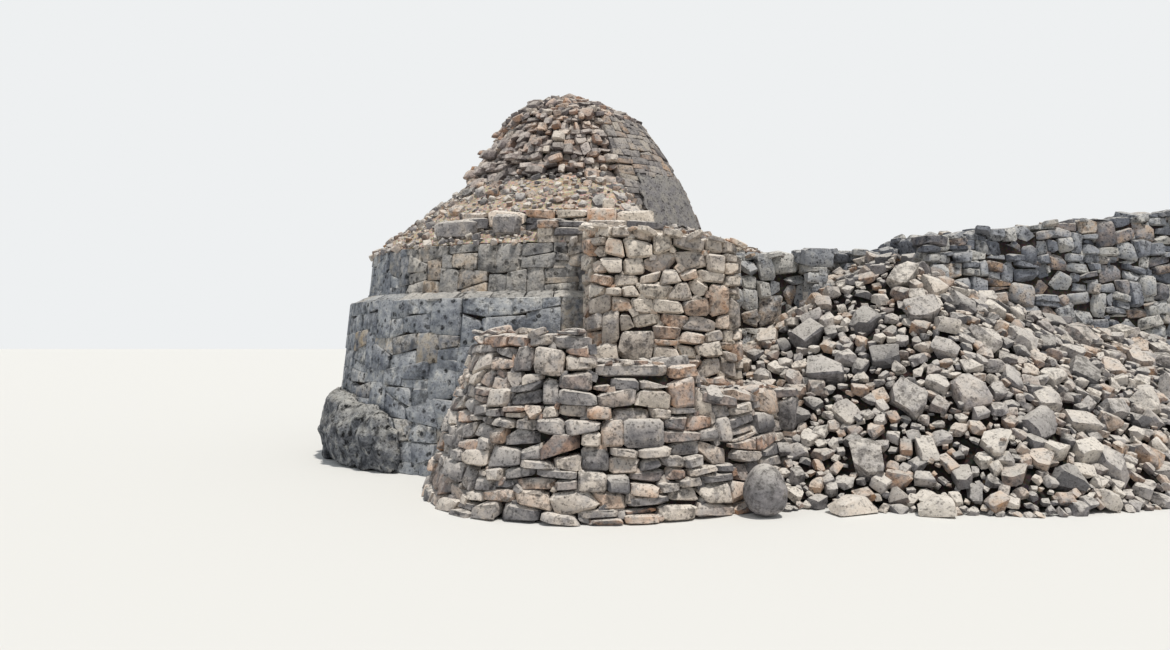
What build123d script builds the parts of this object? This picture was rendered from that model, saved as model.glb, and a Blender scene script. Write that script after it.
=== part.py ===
from build123d import *
import os
from math import cos, floor, hypot, radians, sin, tan

# A ruined dry-stone trullo: a stepped round drum with a corbelled chamber, a broken cone on top,
# a buttress, a low curved wall and a terrace wall with its rubble, all leaning on the drum.
# Sizes are in millimetres, +Z is up and the ground is at Z = 0. Azimuths turn from +X towards +Y,
# so the side shown here as the front faces -Y, which is azimuth 270. The doorway faces +Y.

# The trullo's own axis, seen from the middle of the whole footprint
TRULLO_X = -2460
TRULLO_Y = 980

# Round walls are laid in straight stretches, this many degrees each, and end where one ends
STRETCH = 7.5

# Lower tier of the drum, battered from the ground up to its ledge
LOWER_FOOT_R = 3300
LOWER_LEAN = 230
LEDGE_RISE = 220

# Upper tier, set back on the ledge and level with the terrace
LEDGE_W = 220
UPPER_LEAN = 70
UPPER_TIER_H = 620

# Chamber: one round room inside a skin of larger stones
CHAMBER_R = 1550
SPRING_R = 1500
SKIN_T = 400

# Doorway through the back of the drum
DOOR_W = 800
DOOR_H = 1500
JAMB_W = 330
JAMB_REACH = 480
LINTEL_T = 230
LINTEL_BEARING = 220
LINTEL_DEPTH = 430
LINTEL_COUNT = 4
LINTEL_JOINT = 4
SILL_T = 60
SILL_DEPTH = 380
CHAMBER_FACE_SHARE = 0.9
DOOR_SPAN = 45

# Corbelled dome: each course oversails the one below until one stone closes it
DOME_COURSES = 11
COURSE_T = 220
DOME_SWELL = 1.6
DOME_LOWER_COURSES = 4
DOME_MIDDLE_COURSES = 4
CLOSING_STONE_T = 120

# Cone: a swelling profile from the terrace up to the broken crown
CONE_FOOT_R = 1930
CONE_TOP_R = 1020
CONE_BELLY = 145
CONE_BANDS = 5
CROWN_COVER = 180
FACING_T = 250
FACING_START = -67.5
FACING_END = 180
LEFT_FACING_LOSS = 330

# Rubble core laid bare where the facing has fallen, in ragged steps
CORE_STEPS = 4
CORE_SETBACK = 90

# Crown: the loose cap that is left of the cone's tip
CROWN_R = 990
CROWN_SHOULDER_R = 640
CROWN_SHOULDER_H = 240
CROWN_TIP_R = 130
CROWN_H = 440
CROWN_SHIFT = -170

# Banks of rubble between the cone and the edge of the upper tier
HIGH_BANK_RISE = 990
LOW_BANK_RISE = 330

# Kerb of flat stones that holds the high bank, with a lower step on its right
KERB_SETBACK = 170
KERB_W = 310
KERB_RISE = 20
KERB_START = 240
KERB_END = 292.5
KERB_STEP_DROP = 150
KERB_STEP_START = 262.5

# Coat of lime render left on the cone's lower right side
COAT_T = 25
COAT_START = 300
COAT_END = 337.5
COAT_H = 740

# Buttress with rounded corners against the drum
BUTTRESS_X = 960
BUTTRESS_W = 1760
BUTTRESS_OUT = 320
BUTTRESS_LEFT_R = 480
BUTTRESS_RIGHT_R = 330
BUTTRESS_BATTER = 1.2
BUTTRESS_CHORD = 15
BUTTRESS_LEFT_Z = 2700
BUTTRESS_FALL = 7

# Curved front wall: a tight arc on the left and a wider one on the right, meeting at the nose
NOSE_X = 150
NOSE_OUT = 1960
LEFT_ARC_R = 1610
RIGHT_ARC_R = 2300
FRONT_FOOT_T = 850
FRONT_BATTER = 0.18
FRONT_LEFT_BATTER = 0.34
FRONT_HIGH_Z = 1580
FRONT_MIDDLE_Z = 1320
FRONT_LOW_Z = 1050
FRONT_LEFT_START = 150
FRONT_LEFT_BREAK = 225
FRONT_STEP = 300
FRONT_END = 337.5

# Rubble fill behind the front wall
FILL_LEFT_Z = 1300
FILL_FALL = 5

# Terrace wall, in its own frame: along it from where it leaves the drum, and out from its foot
WALL_LAP = 340
WALL_SINK = 430
WALL_YAW = 11
WALL_FOOT_T = 1100
WALL_FRONT_BATTER = 0.09
WALL_BACK_BATTER = 0.05
WALL_NEAR_L = 1500
WALL_BREACH_L = 1150
WALL_FAR_L = 4200
WALL_START_Z = 2430
WALL_BREACH_Z = 2480
WALL_FAR_Z = 2700
WALL_END_Z = 3170
BREACH_DEPTH = 380
FAR_BREAK = 110

# Rubble heap spilled from the breach: place along the wall, height at the wall, reach of the toe
HEAP_STATIONS = [
    (-420, 760, 1880),
    (420, 1330, 1800),
    (1300, 1950, 2150),
    (2150, 2420, 2480),
    (3200, 1950, 2420),
    (4300, 1640, 2200),
    (5450, 1500, 1850),
    (6150, 1080, 1400),
    (6650, 460, 760),
]
HEAP_BACK = 720
HEAP_CREST_W = 260
HEAP_BELLY_SHARE = 0.5
HEAP_BELLY = 130

# Larger blocks bedded in the heap's face, in staggered rows down its slope, each turned on from the last
HEAP_BLOCK_GAP = 550
HEAP_BLOCK_START = 950
HEAP_BLOCK_END = 6300
HEAP_BLOCK_DOWN = 280
HEAP_BLOCK_LOWEST_Z = 260
HEAP_BLOCK_L = 330
HEAP_BLOCK_W = 250
HEAP_BLOCK_PROUD = 120
HEAP_BLOCK_SINK = 100
HEAP_BLOCK_SPREAD = 0.18
HEAP_BLOCK_SIDES = 5
HEAP_BLOCK_TAPER = 14
HEAP_BLOCK_TURN = 137.5
HEAP_BLOCK_TILT = 10

# Weathered rock bench at the foot of the drum: azimuth, reach beyond the drum, height
BENCH_STATIONS = [
    (190, 60, 380),
    (198, 170, 830),
    (207, 240, 940),
    (218, 290, 800),
    (229, 220, 740),
    (236, 90, 420),
]
BENCH_LAP = 350
BENCH_BULGE = 70
BENCH_NOSE_SHARE = 0.4
BENCH_BROW_SHARE = 0.85
BENCH_BROW_BACK = 105
BENCH_TOP_BACK = 245

# Boulders at the toe of the rubble: place along the wall and out from it, length, width, height, turn
BOULDERS = [
    (-158, 1975, 400, 360, 450, 10),
    (640, 1990, 460, 270, 150, 25),
    (1309, 2230, 320, 240, 170, -20),
]
BOULDER_SIDES = 7
BOULDER_FOOT_SHARE = 0.82
BOULDER_TOP_SHARE = 0.6
BOULDER_BELLY_SHARE = 0.45

# Levels, one above the other
SPRING_Z = DOOR_H + LINTEL_T
LEDGE_Z = SPRING_Z + LEDGE_RISE
TERRACE_Z = LEDGE_Z + UPPER_TIER_H
LOW_BANK_Z = TERRACE_Z + LOW_BANK_RISE
HIGH_BANK_Z = TERRACE_Z + HIGH_BANK_RISE
DOME_TOP_Z = SPRING_Z + DOME_COURSES * COURSE_T
CLOSING_TOP_Z = DOME_TOP_Z + CLOSING_STONE_T
CROWN_Z = CLOSING_TOP_Z + CROWN_COVER

# Radii and places that follow from the drum
LOWER_TOP_R = LOWER_FOOT_R - LOWER_LEAN
UPPER_FOOT_R = LOWER_TOP_R - LEDGE_W
UPPER_TOP_R = UPPER_FOOT_R - UPPER_LEAN
BUTTRESS_FRONT_Y = -LOWER_FOOT_R - BUTTRESS_OUT
NOSE_Y = -LOWER_FOOT_R - NOSE_OUT
WALL_X = BUTTRESS_X + BUTTRESS_W / 2 - WALL_LAP
WALL_Y = WALL_SINK - LOWER_FOOT_R
BACK = 90
LAP_SHARE = 0.7
FLATNESS = 0.001
SIDES = round(360 / STRETCH)
BEYOND = 2 * LOWER_FOOT_R
STEP_ALONG = 50
STEP_SHARE = 0.02
TRULLO = (TRULLO_X, TRULLO_Y)

os.makedirs("parts", exist_ok=True)


def keep(name, sub_part):
    """Labels a finished sub-part and writes it."""
    sub_part.part.label = name
    export_step(sub_part.part, f"parts/{name}.step")


def keep_courses(name, courses):
    """Labels and writes a sub-part whose courses lie on each other as solids of their own."""
    sub_part = Compound([course.solid() for course in courses])
    sub_part.label = name
    export_step(sub_part, f"parts/{name}.step")


def from_axis(x, y):
    """A plan point given from the trullo's axis, in the frame of the whole part."""
    return (TRULLO_X + x, TRULLO_Y + y)


def stretches(start, end):
    """Azimuths from one to another, a straight stretch of wall apart."""
    count = round((end - start) / STRETCH)
    return [start + k * STRETCH for k in range(count + 1)]


def radial_plane(azimuth, centre=TRULLO):
    """The upright plane that looks out from a centre at an azimuth: x outwards, y up."""
    turn = radians(azimuth)
    return Plane(
        origin=(*centre, 0),
        x_dir=(cos(turn), sin(turn), 0),
        z_dir=(sin(turn), -cos(turn), 0),
    )


def is_twisted(corners):
    """Whether a four-cornered face lies out of one plane."""
    if len(corners) != 4:
        return False
    normal = (corners[1] - corners[0]).cross(corners[2] - corners[0]).normalized()
    return abs(normal.dot(corners[3] - corners[0])) > FLATNESS


def flat_faced(solid):
    """The same solid with its ruled faces laid flat, a twisted one as two triangles."""
    faces = []
    for face in solid.faces():
        corners = [edge @ 0 for edge in face.outer_wire().order_edges()]
        halves = [corners[:3], [corners[2], corners[3], corners[0]]] if is_twisted(corners) else [corners]
        faces += [Face(Wire.make_polygon(half)) for half in halves]
    return Solid(Shell(faces))


def curved_wall(sections, start, centre):
    """Masonry laid in straight stretches through (radius, height) sections from an azimuth on."""
    with BuildPart() as wall:
        for k, section in enumerate(sections):
            with BuildSketch(radial_plane(start + k * STRETCH, centre)):
                with BuildLine():
                    Polyline(*section, close=True)
                make_face()
        loft(ruled=True)
    return flat_faced(wall.part)


def ring_sector(section, start, end, centre=TRULLO):
    """Masonry that keeps one section between two azimuths."""
    return curved_wall([section] * len(stretches(start, end)), start, centre)


def full_ring(section):
    """A whole ring of masonry about the trullo's axis."""
    with BuildPart() as ring:
        add([ring_sector(section, 0, 180), ring_sector(section, 180, 360)])
    return ring.part


def upright_box(low, high):
    """A box between two corners, its x and y given from the trullo's axis."""
    size = [high[k] - low[k] for k in range(3)]
    with BuildPart() as block:
        with BuildSketch(Plane.XY.offset(low[2])):
            with Locations(from_axis((low[0] + high[0]) / 2, (low[1] + high[1]) / 2)):
                Rectangle(size[0], size[1])
        extrude(amount=size[2])
    return block.part


# The dome's courses, inside and behind


def course_radius(course):
    """Clear radius of the chamber under a dome course."""
    return SPRING_R * (1 - (course / DOME_COURSES) ** DOME_SWELL)


def skin_back_radius(z):
    """Radius of the back of the chamber's stone skin at a height."""
    if z <= SPRING_Z:
        return CHAMBER_R + SKIN_T + (SPRING_R - CHAMBER_R) * z / SPRING_Z
    course = min(floor((z - SPRING_Z) / COURSE_T), DOME_COURSES - 1)
    share = (z - SPRING_Z) / COURSE_T - course
    below, above = course_radius(course), course_radius(course + 1)
    return SKIN_T + below + (above - below) * share


def skin_back(low, high):
    """Points up the back of the skin between two heights."""
    courses = [SPRING_Z + k * COURSE_T for k in range(DOME_COURSES + 1)]
    heights = [low] + [z for z in courses if low < z < high] + [high]
    return [(skin_back_radius(z), z) for z in heights]


def dome_section(course):
    """Section of a dome course: upright towards the chamber, sloping behind."""
    radius = course_radius(course)
    low = SPRING_Z + course * COURSE_T
    high = low + COURSE_T
    return [(radius, low), (radius, high)] + skin_back(low, high)[::-1]


# The cone's outline


def cone_radius(z):
    """Outer radius of the cone at a height: a straight lean with a belly."""
    share = (z - TERRACE_Z) / (CROWN_Z - TERRACE_Z)
    return CONE_FOOT_R + (CONE_TOP_R - CONE_FOOT_R) * share + 4 * CONE_BELLY * share * (1 - share)


def cone_face(low, high, inset):
    """Points up the cone, or up a face inside it, between two heights."""
    band = (CROWN_Z - TERRACE_Z) / CONE_BANDS
    bands = [TERRACE_Z + k * band for k in range(CONE_BANDS + 1)]
    heights = [low] + [z for z in bands if low < z < high] + [high]
    corners = [(z, cone_radius(z)) for z in bands]

    def chord(z):
        for (z0, r0), (z1, r1) in zip(corners, corners[1:]):
            if z <= z1:
                return r0 + (r1 - r0) * (z - z0) / (z1 - z0)
        return corners[-1][1]

    return [(chord(z) - inset, z) for z in heights]


def bare_core_radius(z):
    return cone_radius(z) - CORE_SETBACK


HIGH_BANK_R = bare_core_radius(HIGH_BANK_Z)
BARE_CORE_FOOT_R = bare_core_radius(TERRACE_Z)


def high_bank_height(radius):
    """Height of the high bank's surface at a radius."""
    share = (UPPER_TOP_R - radius) / (UPPER_TOP_R - HIGH_BANK_R)
    return TERRACE_Z + (HIGH_BANK_Z - TERRACE_Z) * share


# Lower tier: a thick ring between the chamber's skin and the outer face

lower_section = [(LOWER_FOOT_R, 0), (LOWER_TOP_R, LEDGE_Z)] + skin_back(0, LEDGE_Z)[::-1]
lower_whole = full_ring(
    [(CHAMBER_R, 0), (LOWER_FOOT_R, 0), (LOWER_TOP_R, LEDGE_Z), (SPRING_R, LEDGE_Z), (SPRING_R, SPRING_Z)]
)

half_door = DOOR_W / 2
half_lintel = half_door + LINTEL_BEARING
doorway = upright_box((-half_door, 0, 0), (half_door, BEYOND, DOOR_H))
door_head = upright_box((-half_lintel, 0, DOOR_H), (half_lintel, BEYOND, LEDGE_Z))
lintel_slot = upright_box((-half_lintel, 0, DOOR_H), (half_lintel, BEYOND, SPRING_Z))
jamb_back_y = (LOWER_FOOT_R**2 - (half_door + JAMB_W) ** 2) ** 0.5 - JAMB_REACH
left_jamb_slot = upright_box((-half_door - JAMB_W, jamb_back_y, 0), (-half_door, BEYOND, DOOR_H))
right_jamb_slot = upright_box((half_door, jamb_back_y, 0), (half_door + JAMB_W, BEYOND, DOOR_H))

LOWER_SECTORS = {
    "lower_wall_right": (-22.5, 30),
    "lower_wall_back_right": (30, BACK),
    "lower_wall_back_left": (BACK, 142.5),
    "lower_wall_left": (142.5, 195),
    "lower_wall_front_left": (195, 240),
    "lower_wall_front": (240, 285),
    "lower_wall_front_right": (285, 337.5),
}
for name, (start, end) in LOWER_SECTORS.items():
    with BuildPart() as lower_wall:
        add(ring_sector(lower_section, start, end))
        if BACK in (start, end):
            add([doorway, door_head, left_jamb_slot, right_jamb_slot], mode=Mode.SUBTRACT)
    keep(name, lower_wall)

with BuildPart() as wall_over_door:
    add(ring_sector(lower_section, BACK - DOOR_SPAN, BACK + DOOR_SPAN))
    add(upright_box((-half_lintel, 0, SPRING_Z), (half_lintel, BEYOND, LEDGE_Z)), mode=Mode.INTERSECT)
keep("wall_over_door", wall_over_door)

# Doorway: corner stones, lintels over the whole passage and a worn sill

with BuildPart() as door_jambs:
    add([left_jamb_slot, right_jamb_slot])
    add(lower_whole, mode=Mode.INTERSECT)
keep("door_jambs", door_jambs)

lintel_face_y = (LOWER_FOOT_R + (LOWER_TOP_R - LOWER_FOOT_R) * DOOR_H / LEDGE_Z) - LINTEL_DEPTH
outer_lintel_slot = upright_box((-half_lintel, lintel_face_y, DOOR_H), (half_lintel, BEYOND, SPRING_Z))
with BuildPart() as outer_lintel:
    add(lower_whole)
    add(outer_lintel_slot, mode=Mode.INTERSECT)
keep("outer_lintel", outer_lintel)

chamber_face_y = SPRING_R * CHAMBER_FACE_SHARE
lintel_run = lintel_face_y - chamber_face_y
with BuildPart() as passage_lintels:
    add(lower_whole)
    add(lintel_slot, mode=Mode.INTERSECT)
    add(outer_lintel_slot, mode=Mode.SUBTRACT)
    for joint in range(1, LINTEL_COUNT):
        joint_y = chamber_face_y + lintel_run * joint / LINTEL_COUNT
        add(
            upright_box(
                (-half_lintel, joint_y - LINTEL_JOINT / 2, DOOR_H),
                (half_lintel, joint_y + LINTEL_JOINT / 2, SPRING_Z),
            ),
            mode=Mode.SUBTRACT,
        )
keep("passage_lintels", passage_lintels)

with BuildPart() as door_sill:
    add(lower_whole)
    add(
        upright_box((-half_door, LOWER_FOOT_R - SILL_DEPTH, 0), (half_door, BEYOND, SILL_T)),
        mode=Mode.INTERSECT,
    )
keep("door_sill", door_sill)

# Chamber wall: the upright skin, open at the doorway

chamber_section = [(CHAMBER_R, 0)] + skin_back(0, SPRING_Z) + [(SPRING_R, SPRING_Z)]
CHAMBER_SECTORS = {
    "chamber_wall_right": (-30, BACK),
    "chamber_wall_left": (BACK, 210),
    "chamber_wall_front": (210, 330),
}
for name, (start, end) in CHAMBER_SECTORS.items():
    with BuildPart() as chamber_wall:
        add(ring_sector(chamber_section, start, end))
        if BACK in (start, end):
            add([doorway, lintel_slot], mode=Mode.SUBTRACT)
    keep(name, chamber_wall)

# Corbelled dome: each course is a ring that steps in over the one below, in three lifts,
# and one stone closes it

lower_lift = DOME_LOWER_COURSES
middle_lift = lower_lift + DOME_MIDDLE_COURSES
DOME_LIFTS = {
    "dome_lower": (0, lower_lift),
    "dome_middle": (lower_lift, middle_lift),
    "dome_upper": (middle_lift, DOME_COURSES),
}
for name, (first, last) in DOME_LIFTS.items():
    keep_courses(name, [full_ring(dome_section(course)) for course in range(first, last)])

closing_r = skin_back_radius(DOME_TOP_Z)
with BuildPart() as closing_stone:
    with BuildSketch(Plane.XY.offset(DOME_TOP_Z)):
        with Locations(TRULLO):
            RegularPolygon(closing_r, SIDES)
    extrude(amount=CLOSING_STONE_T)
keep("closing_stone", closing_stone)

# Upper tier on the ledge

upper_section = [(UPPER_FOOT_R, LEDGE_Z), (UPPER_TOP_R, TERRACE_Z)] + skin_back(LEDGE_Z, TERRACE_Z)[::-1]
UPPER_SECTORS = {
    "upper_wall_right": (-22.5, 60),
    "upper_wall_back": (60, 150),
    "upper_wall_left": (150, 225),
    "upper_wall_front": (225, 337.5),
}
for name, (start, end) in UPPER_SECTORS.items():
    with BuildPart() as upper_wall:
        add(ring_sector(upper_section, start, end))
    keep(name, upper_wall)

# Cone core: plain behind the facing, bare and stepped where the facing has fallen

core_inside = skin_back(TERRACE_Z, DOME_TOP_Z) + [(closing_r, CROWN_Z)]
with BuildPart() as core_behind_facing:
    outside = cone_face(TERRACE_Z, CROWN_Z, FACING_T)
    add(ring_sector(core_inside + outside[::-1], FACING_START, FACING_END))
keep("core_behind_facing", core_behind_facing)

step_h = (CROWN_Z - HIGH_BANK_Z) / CORE_STEPS
bare_steps = []
for step in range(CORE_STEPS):
    step_z = HIGH_BANK_Z + step * step_h
    step_r = bare_core_radius(step_z + step_h / 2)
    bare_steps.append((step_r, step_z))
    bare_steps.append((step_r, step_z + step_h))
with BuildPart() as bare_core:
    outside = [(BARE_CORE_FOOT_R, TERRACE_Z), (HIGH_BANK_R, HIGH_BANK_Z)] + bare_steps
    add(ring_sector(core_inside + outside[::-1], FACING_END, 360 + FACING_START))
keep("bare_core", bare_core)

# Facing of the cone in three sectors, the left one broken off lower

facing_third = (FACING_END - FACING_START) / 3
FACING_TOPS = {
    "cone_facing_right": CROWN_Z,
    "cone_facing_back": CROWN_Z,
    "cone_facing_left": CROWN_Z - LEFT_FACING_LOSS,
}
for third, (name, top_z) in enumerate(FACING_TOPS.items()):
    start = FACING_START + third * facing_third
    with BuildPart() as facing:
        outside = cone_face(TERRACE_Z, top_z, 0)
        inside = cone_face(TERRACE_Z, top_z, FACING_T)
        add(ring_sector(outside + inside[::-1], start, start + facing_third))
    keep(name, facing)

# Coat of render over the facing's lower part

with BuildPart() as render_coat:
    under = cone_face(LOW_BANK_Z, LOW_BANK_Z + COAT_H, 0)
    over = [(radius + COAT_T, z) for radius, z in under]
    add(ring_sector(over + under[::-1], COAT_START, COAT_END))
keep("render_coat", render_coat)

# Crown: a loose cap, its tip a little off the axis, and the fill between it and the closing stone

with BuildPart() as cap:
    for rise, shift, radius in (
        (0, 0, CROWN_R),
        (CROWN_SHOULDER_H, CROWN_SHIFT / 2, CROWN_SHOULDER_R),
        (CROWN_H, CROWN_SHIFT, CROWN_TIP_R),
    ):
        with BuildSketch(Plane.XY.offset(CROWN_Z + rise)):
            with Locations(from_axis(shift, 0)):
                RegularPolygon(radius, SIDES)
    loft(ruled=True)
with BuildPart() as crown:
    with BuildSketch(Plane.XY.offset(CLOSING_TOP_Z)):
        with Locations(TRULLO):
            RegularPolygon(closing_r, SIDES)
    extrude(amount=CROWN_COVER)
    add(flat_faced(cap.part))
keep("crown", crown)

# Banks of rubble around the cone, and the kerb that holds the high one

with BuildPart() as high_bank:
    add(
        ring_sector(
            [(BARE_CORE_FOOT_R, TERRACE_Z), (UPPER_TOP_R, TERRACE_Z), (HIGH_BANK_R, HIGH_BANK_Z)],
            FACING_END,
            360 + FACING_START,
        )
    )
keep("high_bank", high_bank)

with BuildPart() as low_bank:
    cone_side = cone_face(TERRACE_Z, LOW_BANK_Z, 0)
    add(ring_sector([(UPPER_TOP_R, TERRACE_Z)] + cone_side[::-1], FACING_START, FACING_END))
keep("low_bank", low_bank)

kerb_outer_r = UPPER_TOP_R - KERB_SETBACK
kerb_inner_r = kerb_outer_r - KERB_W
kerb_top_z = high_bank_height(kerb_inner_r) + KERB_RISE
kerb_step_z = kerb_top_z - KERB_STEP_DROP
with BuildPart() as bank_kerb:
    upper = [(kerb_inner_r, kerb_top_z), (kerb_outer_r, kerb_top_z)]
    upper += [(r, high_bank_height(r)) for r in (kerb_outer_r, kerb_inner_r)]
    add(ring_sector(upper, KERB_START, KERB_END))
    lower = [(kerb_outer_r, kerb_step_z), (UPPER_TOP_R, kerb_step_z)]
    lower += [(r, high_bank_height(r)) for r in (UPPER_TOP_R, kerb_outer_r)]
    add(ring_sector(lower, KERB_STEP_START, KERB_END))
keep("bank_kerb", bank_kerb)

# Everything built against the drum is fitted to its outside

drum_outside = full_ring(
    [
        (SPRING_R, 0),
        (LOWER_FOOT_R, 0),
        (LOWER_TOP_R, LEDGE_Z),
        (UPPER_FOOT_R, LEDGE_Z),
        (UPPER_TOP_R, TERRACE_Z),
        (UPPER_TOP_R, CROWN_Z),
        (SPRING_R, CROWN_Z),
    ]
)
inside_drum_y = -UPPER_TOP_R * LAP_SHARE

# Buttress: rounded corners, a slight batter and a top that falls to the right


def rounded_corner(x, y, radius, start):
    """Plan points round a corner, a quarter turn from an azimuth, in short chords."""
    turns = [radians(start + k * BUTTRESS_CHORD) for k in range(round(90 / BUTTRESS_CHORD) + 1)]
    return [from_axis(x + radius * cos(turn), y + radius * sin(turn)) for turn in turns]


with BuildPart() as battered_block:
    for level in (0, BUTTRESS_LEFT_Z):
        inset = level * tan(radians(BUTTRESS_BATTER))
        left_r, right_r = BUTTRESS_LEFT_R - inset, BUTTRESS_RIGHT_R - inset
        left_x = BUTTRESS_X - BUTTRESS_W / 2 + BUTTRESS_LEFT_R
        right_x = BUTTRESS_X + BUTTRESS_W / 2 - BUTTRESS_RIGHT_R
        plan = rounded_corner(left_x, BUTTRESS_FRONT_Y + BUTTRESS_LEFT_R, left_r, 180)
        plan += rounded_corner(right_x, BUTTRESS_FRONT_Y + BUTTRESS_RIGHT_R, right_r, 270)
        plan += [from_axis(right_x + right_r, inside_drum_y), from_axis(left_x - left_r, inside_drum_y)]
        with BuildSketch(Plane.XY.offset(level)):
            with BuildLine():
                Polyline(*plan, close=True)
            make_face()
    loft(ruled=True)
with BuildPart() as buttress:
    add(flat_faced(battered_block.part))
    top_left = (*from_axis(BUTTRESS_X - BUTTRESS_W / 2, 0), BUTTRESS_LEFT_Z)
    fall = radians(BUTTRESS_FALL)
    split(bisect_by=Plane(origin=top_left, z_dir=(sin(fall), 0, cos(fall))), keep=Keep.BOTTOM)
    add(drum_outside, mode=Mode.SUBTRACT)
keep("buttress", buttress)

# Terrace wall: battered faces, laid out along its own line


def wall_plane(along):
    """Upright plane across the terrace wall: x out of its front face, y up."""
    yaw = radians(WALL_YAW)
    x, y = from_axis(WALL_X + along * cos(yaw), WALL_Y + along * sin(yaw))
    return Plane(origin=(x, y, 0), x_dir=(sin(yaw), -cos(yaw), 0), z_dir=(-cos(yaw), -sin(yaw), 0))


def wall_length(start, end, start_z, end_z, recess=0):
    """One length of the terrace wall between two places along it."""
    with BuildPart() as length:
        for along, top_z in ((start, start_z), (end, end_z)):
            with BuildSketch(wall_plane(along)):
                with BuildLine():
                    Polyline(
                        (-recess, 0),
                        (-recess - top_z * WALL_FRONT_BATTER, top_z),
                        (-WALL_FOOT_T + top_z * WALL_BACK_BATTER, top_z),
                        (-WALL_FOOT_T, 0),
                        close=True,
                    )
                make_face()
        loft(ruled=True)
    return flat_faced(length.part)


breach_start = WALL_NEAR_L
breach_end = WALL_NEAR_L + WALL_BREACH_L
wall_end = breach_end + WALL_FAR_L
with BuildPart() as terrace_wall_near:
    add(wall_length(0, breach_start, WALL_START_Z, WALL_BREACH_Z))
    add([drum_outside, buttress.part], mode=Mode.SUBTRACT)
keep("terrace_wall_near", terrace_wall_near)

with BuildPart() as terrace_wall_breach:
    add(wall_length(breach_start, breach_end, WALL_BREACH_Z, WALL_FAR_Z - FAR_BREAK, recess=BREACH_DEPTH))
    add(drum_outside, mode=Mode.SUBTRACT)
keep("terrace_wall_breach", terrace_wall_breach)

with BuildPart() as terrace_wall_far:
    add(wall_length(breach_end, wall_end, WALL_FAR_Z, WALL_END_Z))
keep("terrace_wall_far", terrace_wall_far)

# Front wall: battered outside, upright inside, its top stepping down to the right

left_centre = from_axis(NOSE_X, NOSE_Y + LEFT_ARC_R)
right_centre = from_axis(NOSE_X, NOSE_Y + RIGHT_ARC_R)
NOSE = 270


def front_section(foot_r, top_z, azimuth):
    """Section of the front wall, which leans back more towards its left end."""
    leftness = max(0, sin(radians(NOSE - azimuth)))
    batter = FRONT_BATTER + (FRONT_LEFT_BATTER - FRONT_BATTER) * leftness
    return [
        (foot_r - FRONT_FOOT_T, 0),
        (foot_r, 0),
        (foot_r - batter * top_z, top_z),
        (foot_r - FRONT_FOOT_T, top_z),
    ]


FRONT_LENGTHS = {
    "front_wall_left": (left_centre, LEFT_ARC_R, FRONT_LEFT_START, FRONT_LEFT_BREAK, FRONT_HIGH_Z),
    "front_wall_nose": (left_centre, LEFT_ARC_R, FRONT_LEFT_BREAK, NOSE, FRONT_HIGH_Z),
    "front_wall_middle": (right_centre, RIGHT_ARC_R, NOSE, FRONT_STEP, FRONT_MIDDLE_Z),
    "front_wall_right": (right_centre, RIGHT_ARC_R, FRONT_STEP, FRONT_END, FRONT_LOW_Z),
}
front_walls = []
for name, (centre, foot_r, start, end, top_z) in FRONT_LENGTHS.items():
    with BuildPart() as front_wall:
        sections = [front_section(foot_r, top_z, azimuth) for azimuth in stretches(start, end)]
        add(curved_wall(sections, start, centre))
        add([drum_outside, buttress.part], mode=Mode.SUBTRACT)
    keep(name, front_wall)
    front_walls.append(front_wall.part)

# Rubble fill between the front wall, the buttress and the drum


def inner_arc(centre, foot_r, start, end):
    """Plan points along the back of a stretch of the front wall."""
    turns = [radians(azimuth) for azimuth in stretches(start, end)]
    inner_r = foot_r - FRONT_FOOT_T
    return [(centre[0] + inner_r * cos(turn), centre[1] + inner_r * sin(turn)) for turn in turns]


left_back = inner_arc(left_centre, LEFT_ARC_R, 180, NOSE)
right_back = inner_arc(right_centre, RIGHT_ARC_R, NOSE, FRONT_END)
inside_y = TRULLO_Y + inside_drum_y
with BuildPart() as front_fill:
    with BuildSketch():
        with BuildLine():
            Polyline(
                (left_back[0][0], inside_y),
                *left_back,
                *right_back[1:],
                (right_back[-1][0], inside_y),
                close=True,
            )
        make_face()
    extrude(amount=FILL_LEFT_Z)
    fill_left = (left_centre[0] - LEFT_ARC_R, left_centre[1], FILL_LEFT_Z)
    fill_fall = radians(FILL_FALL)
    split(bisect_by=Plane(origin=fill_left, z_dir=(sin(fill_fall), 0, cos(fill_fall))), keep=Keep.BOTTOM)
    add([drum_outside, buttress.part, terrace_wall_near.part, *front_walls], mode=Mode.SUBTRACT)
keep("front_fill", front_fill)

# Boulders: rounded blocks that lie on the ground against the rubble


def stone_outline(length, width, sides):
    """Corners of a stone seen from above, laid on an oval."""
    turns = [radians(360 * k / sides) for k in range(sides)]
    return [(length / 2 * cos(turn), width / 2 * sin(turn)) for turn in turns]


def boulder(along, out, length, width, height, turn):
    levels = [
        (0, BOULDER_FOOT_SHARE),
        (height * BOULDER_BELLY_SHARE, 1),
        (height, BOULDER_TOP_SHARE),
    ]
    place = wall_plane(along).from_local_coords((out, 0, 0))
    with BuildPart() as stone:
        for level, share in levels:
            with BuildSketch(Plane(origin=(place.X, place.Y, level)).rotated((0, 0, turn))):
                with BuildLine():
                    Polyline(*stone_outline(length * share, width * share, BOULDER_SIDES), close=True)
                make_face()
        loft(ruled=True)
    return flat_faced(stone.part)


with BuildPart() as boulders:
    for place in BOULDERS:
        add(boulder(*place))
keep("boulders", boulders)

# Rubble heap: a bank of fallen stones, highest at the breach and dying out both ways


def heap_face(height, reach):
    """Crest, belly and toe of the heap's face, each out from the wall and up."""
    belly_out = HEAP_CREST_W + (reach - HEAP_CREST_W) * HEAP_BELLY_SHARE
    return [(HEAP_CREST_W, height), (belly_out, height * (1 - HEAP_BELLY_SHARE) + HEAP_BELLY), (reach, 0)]


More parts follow.
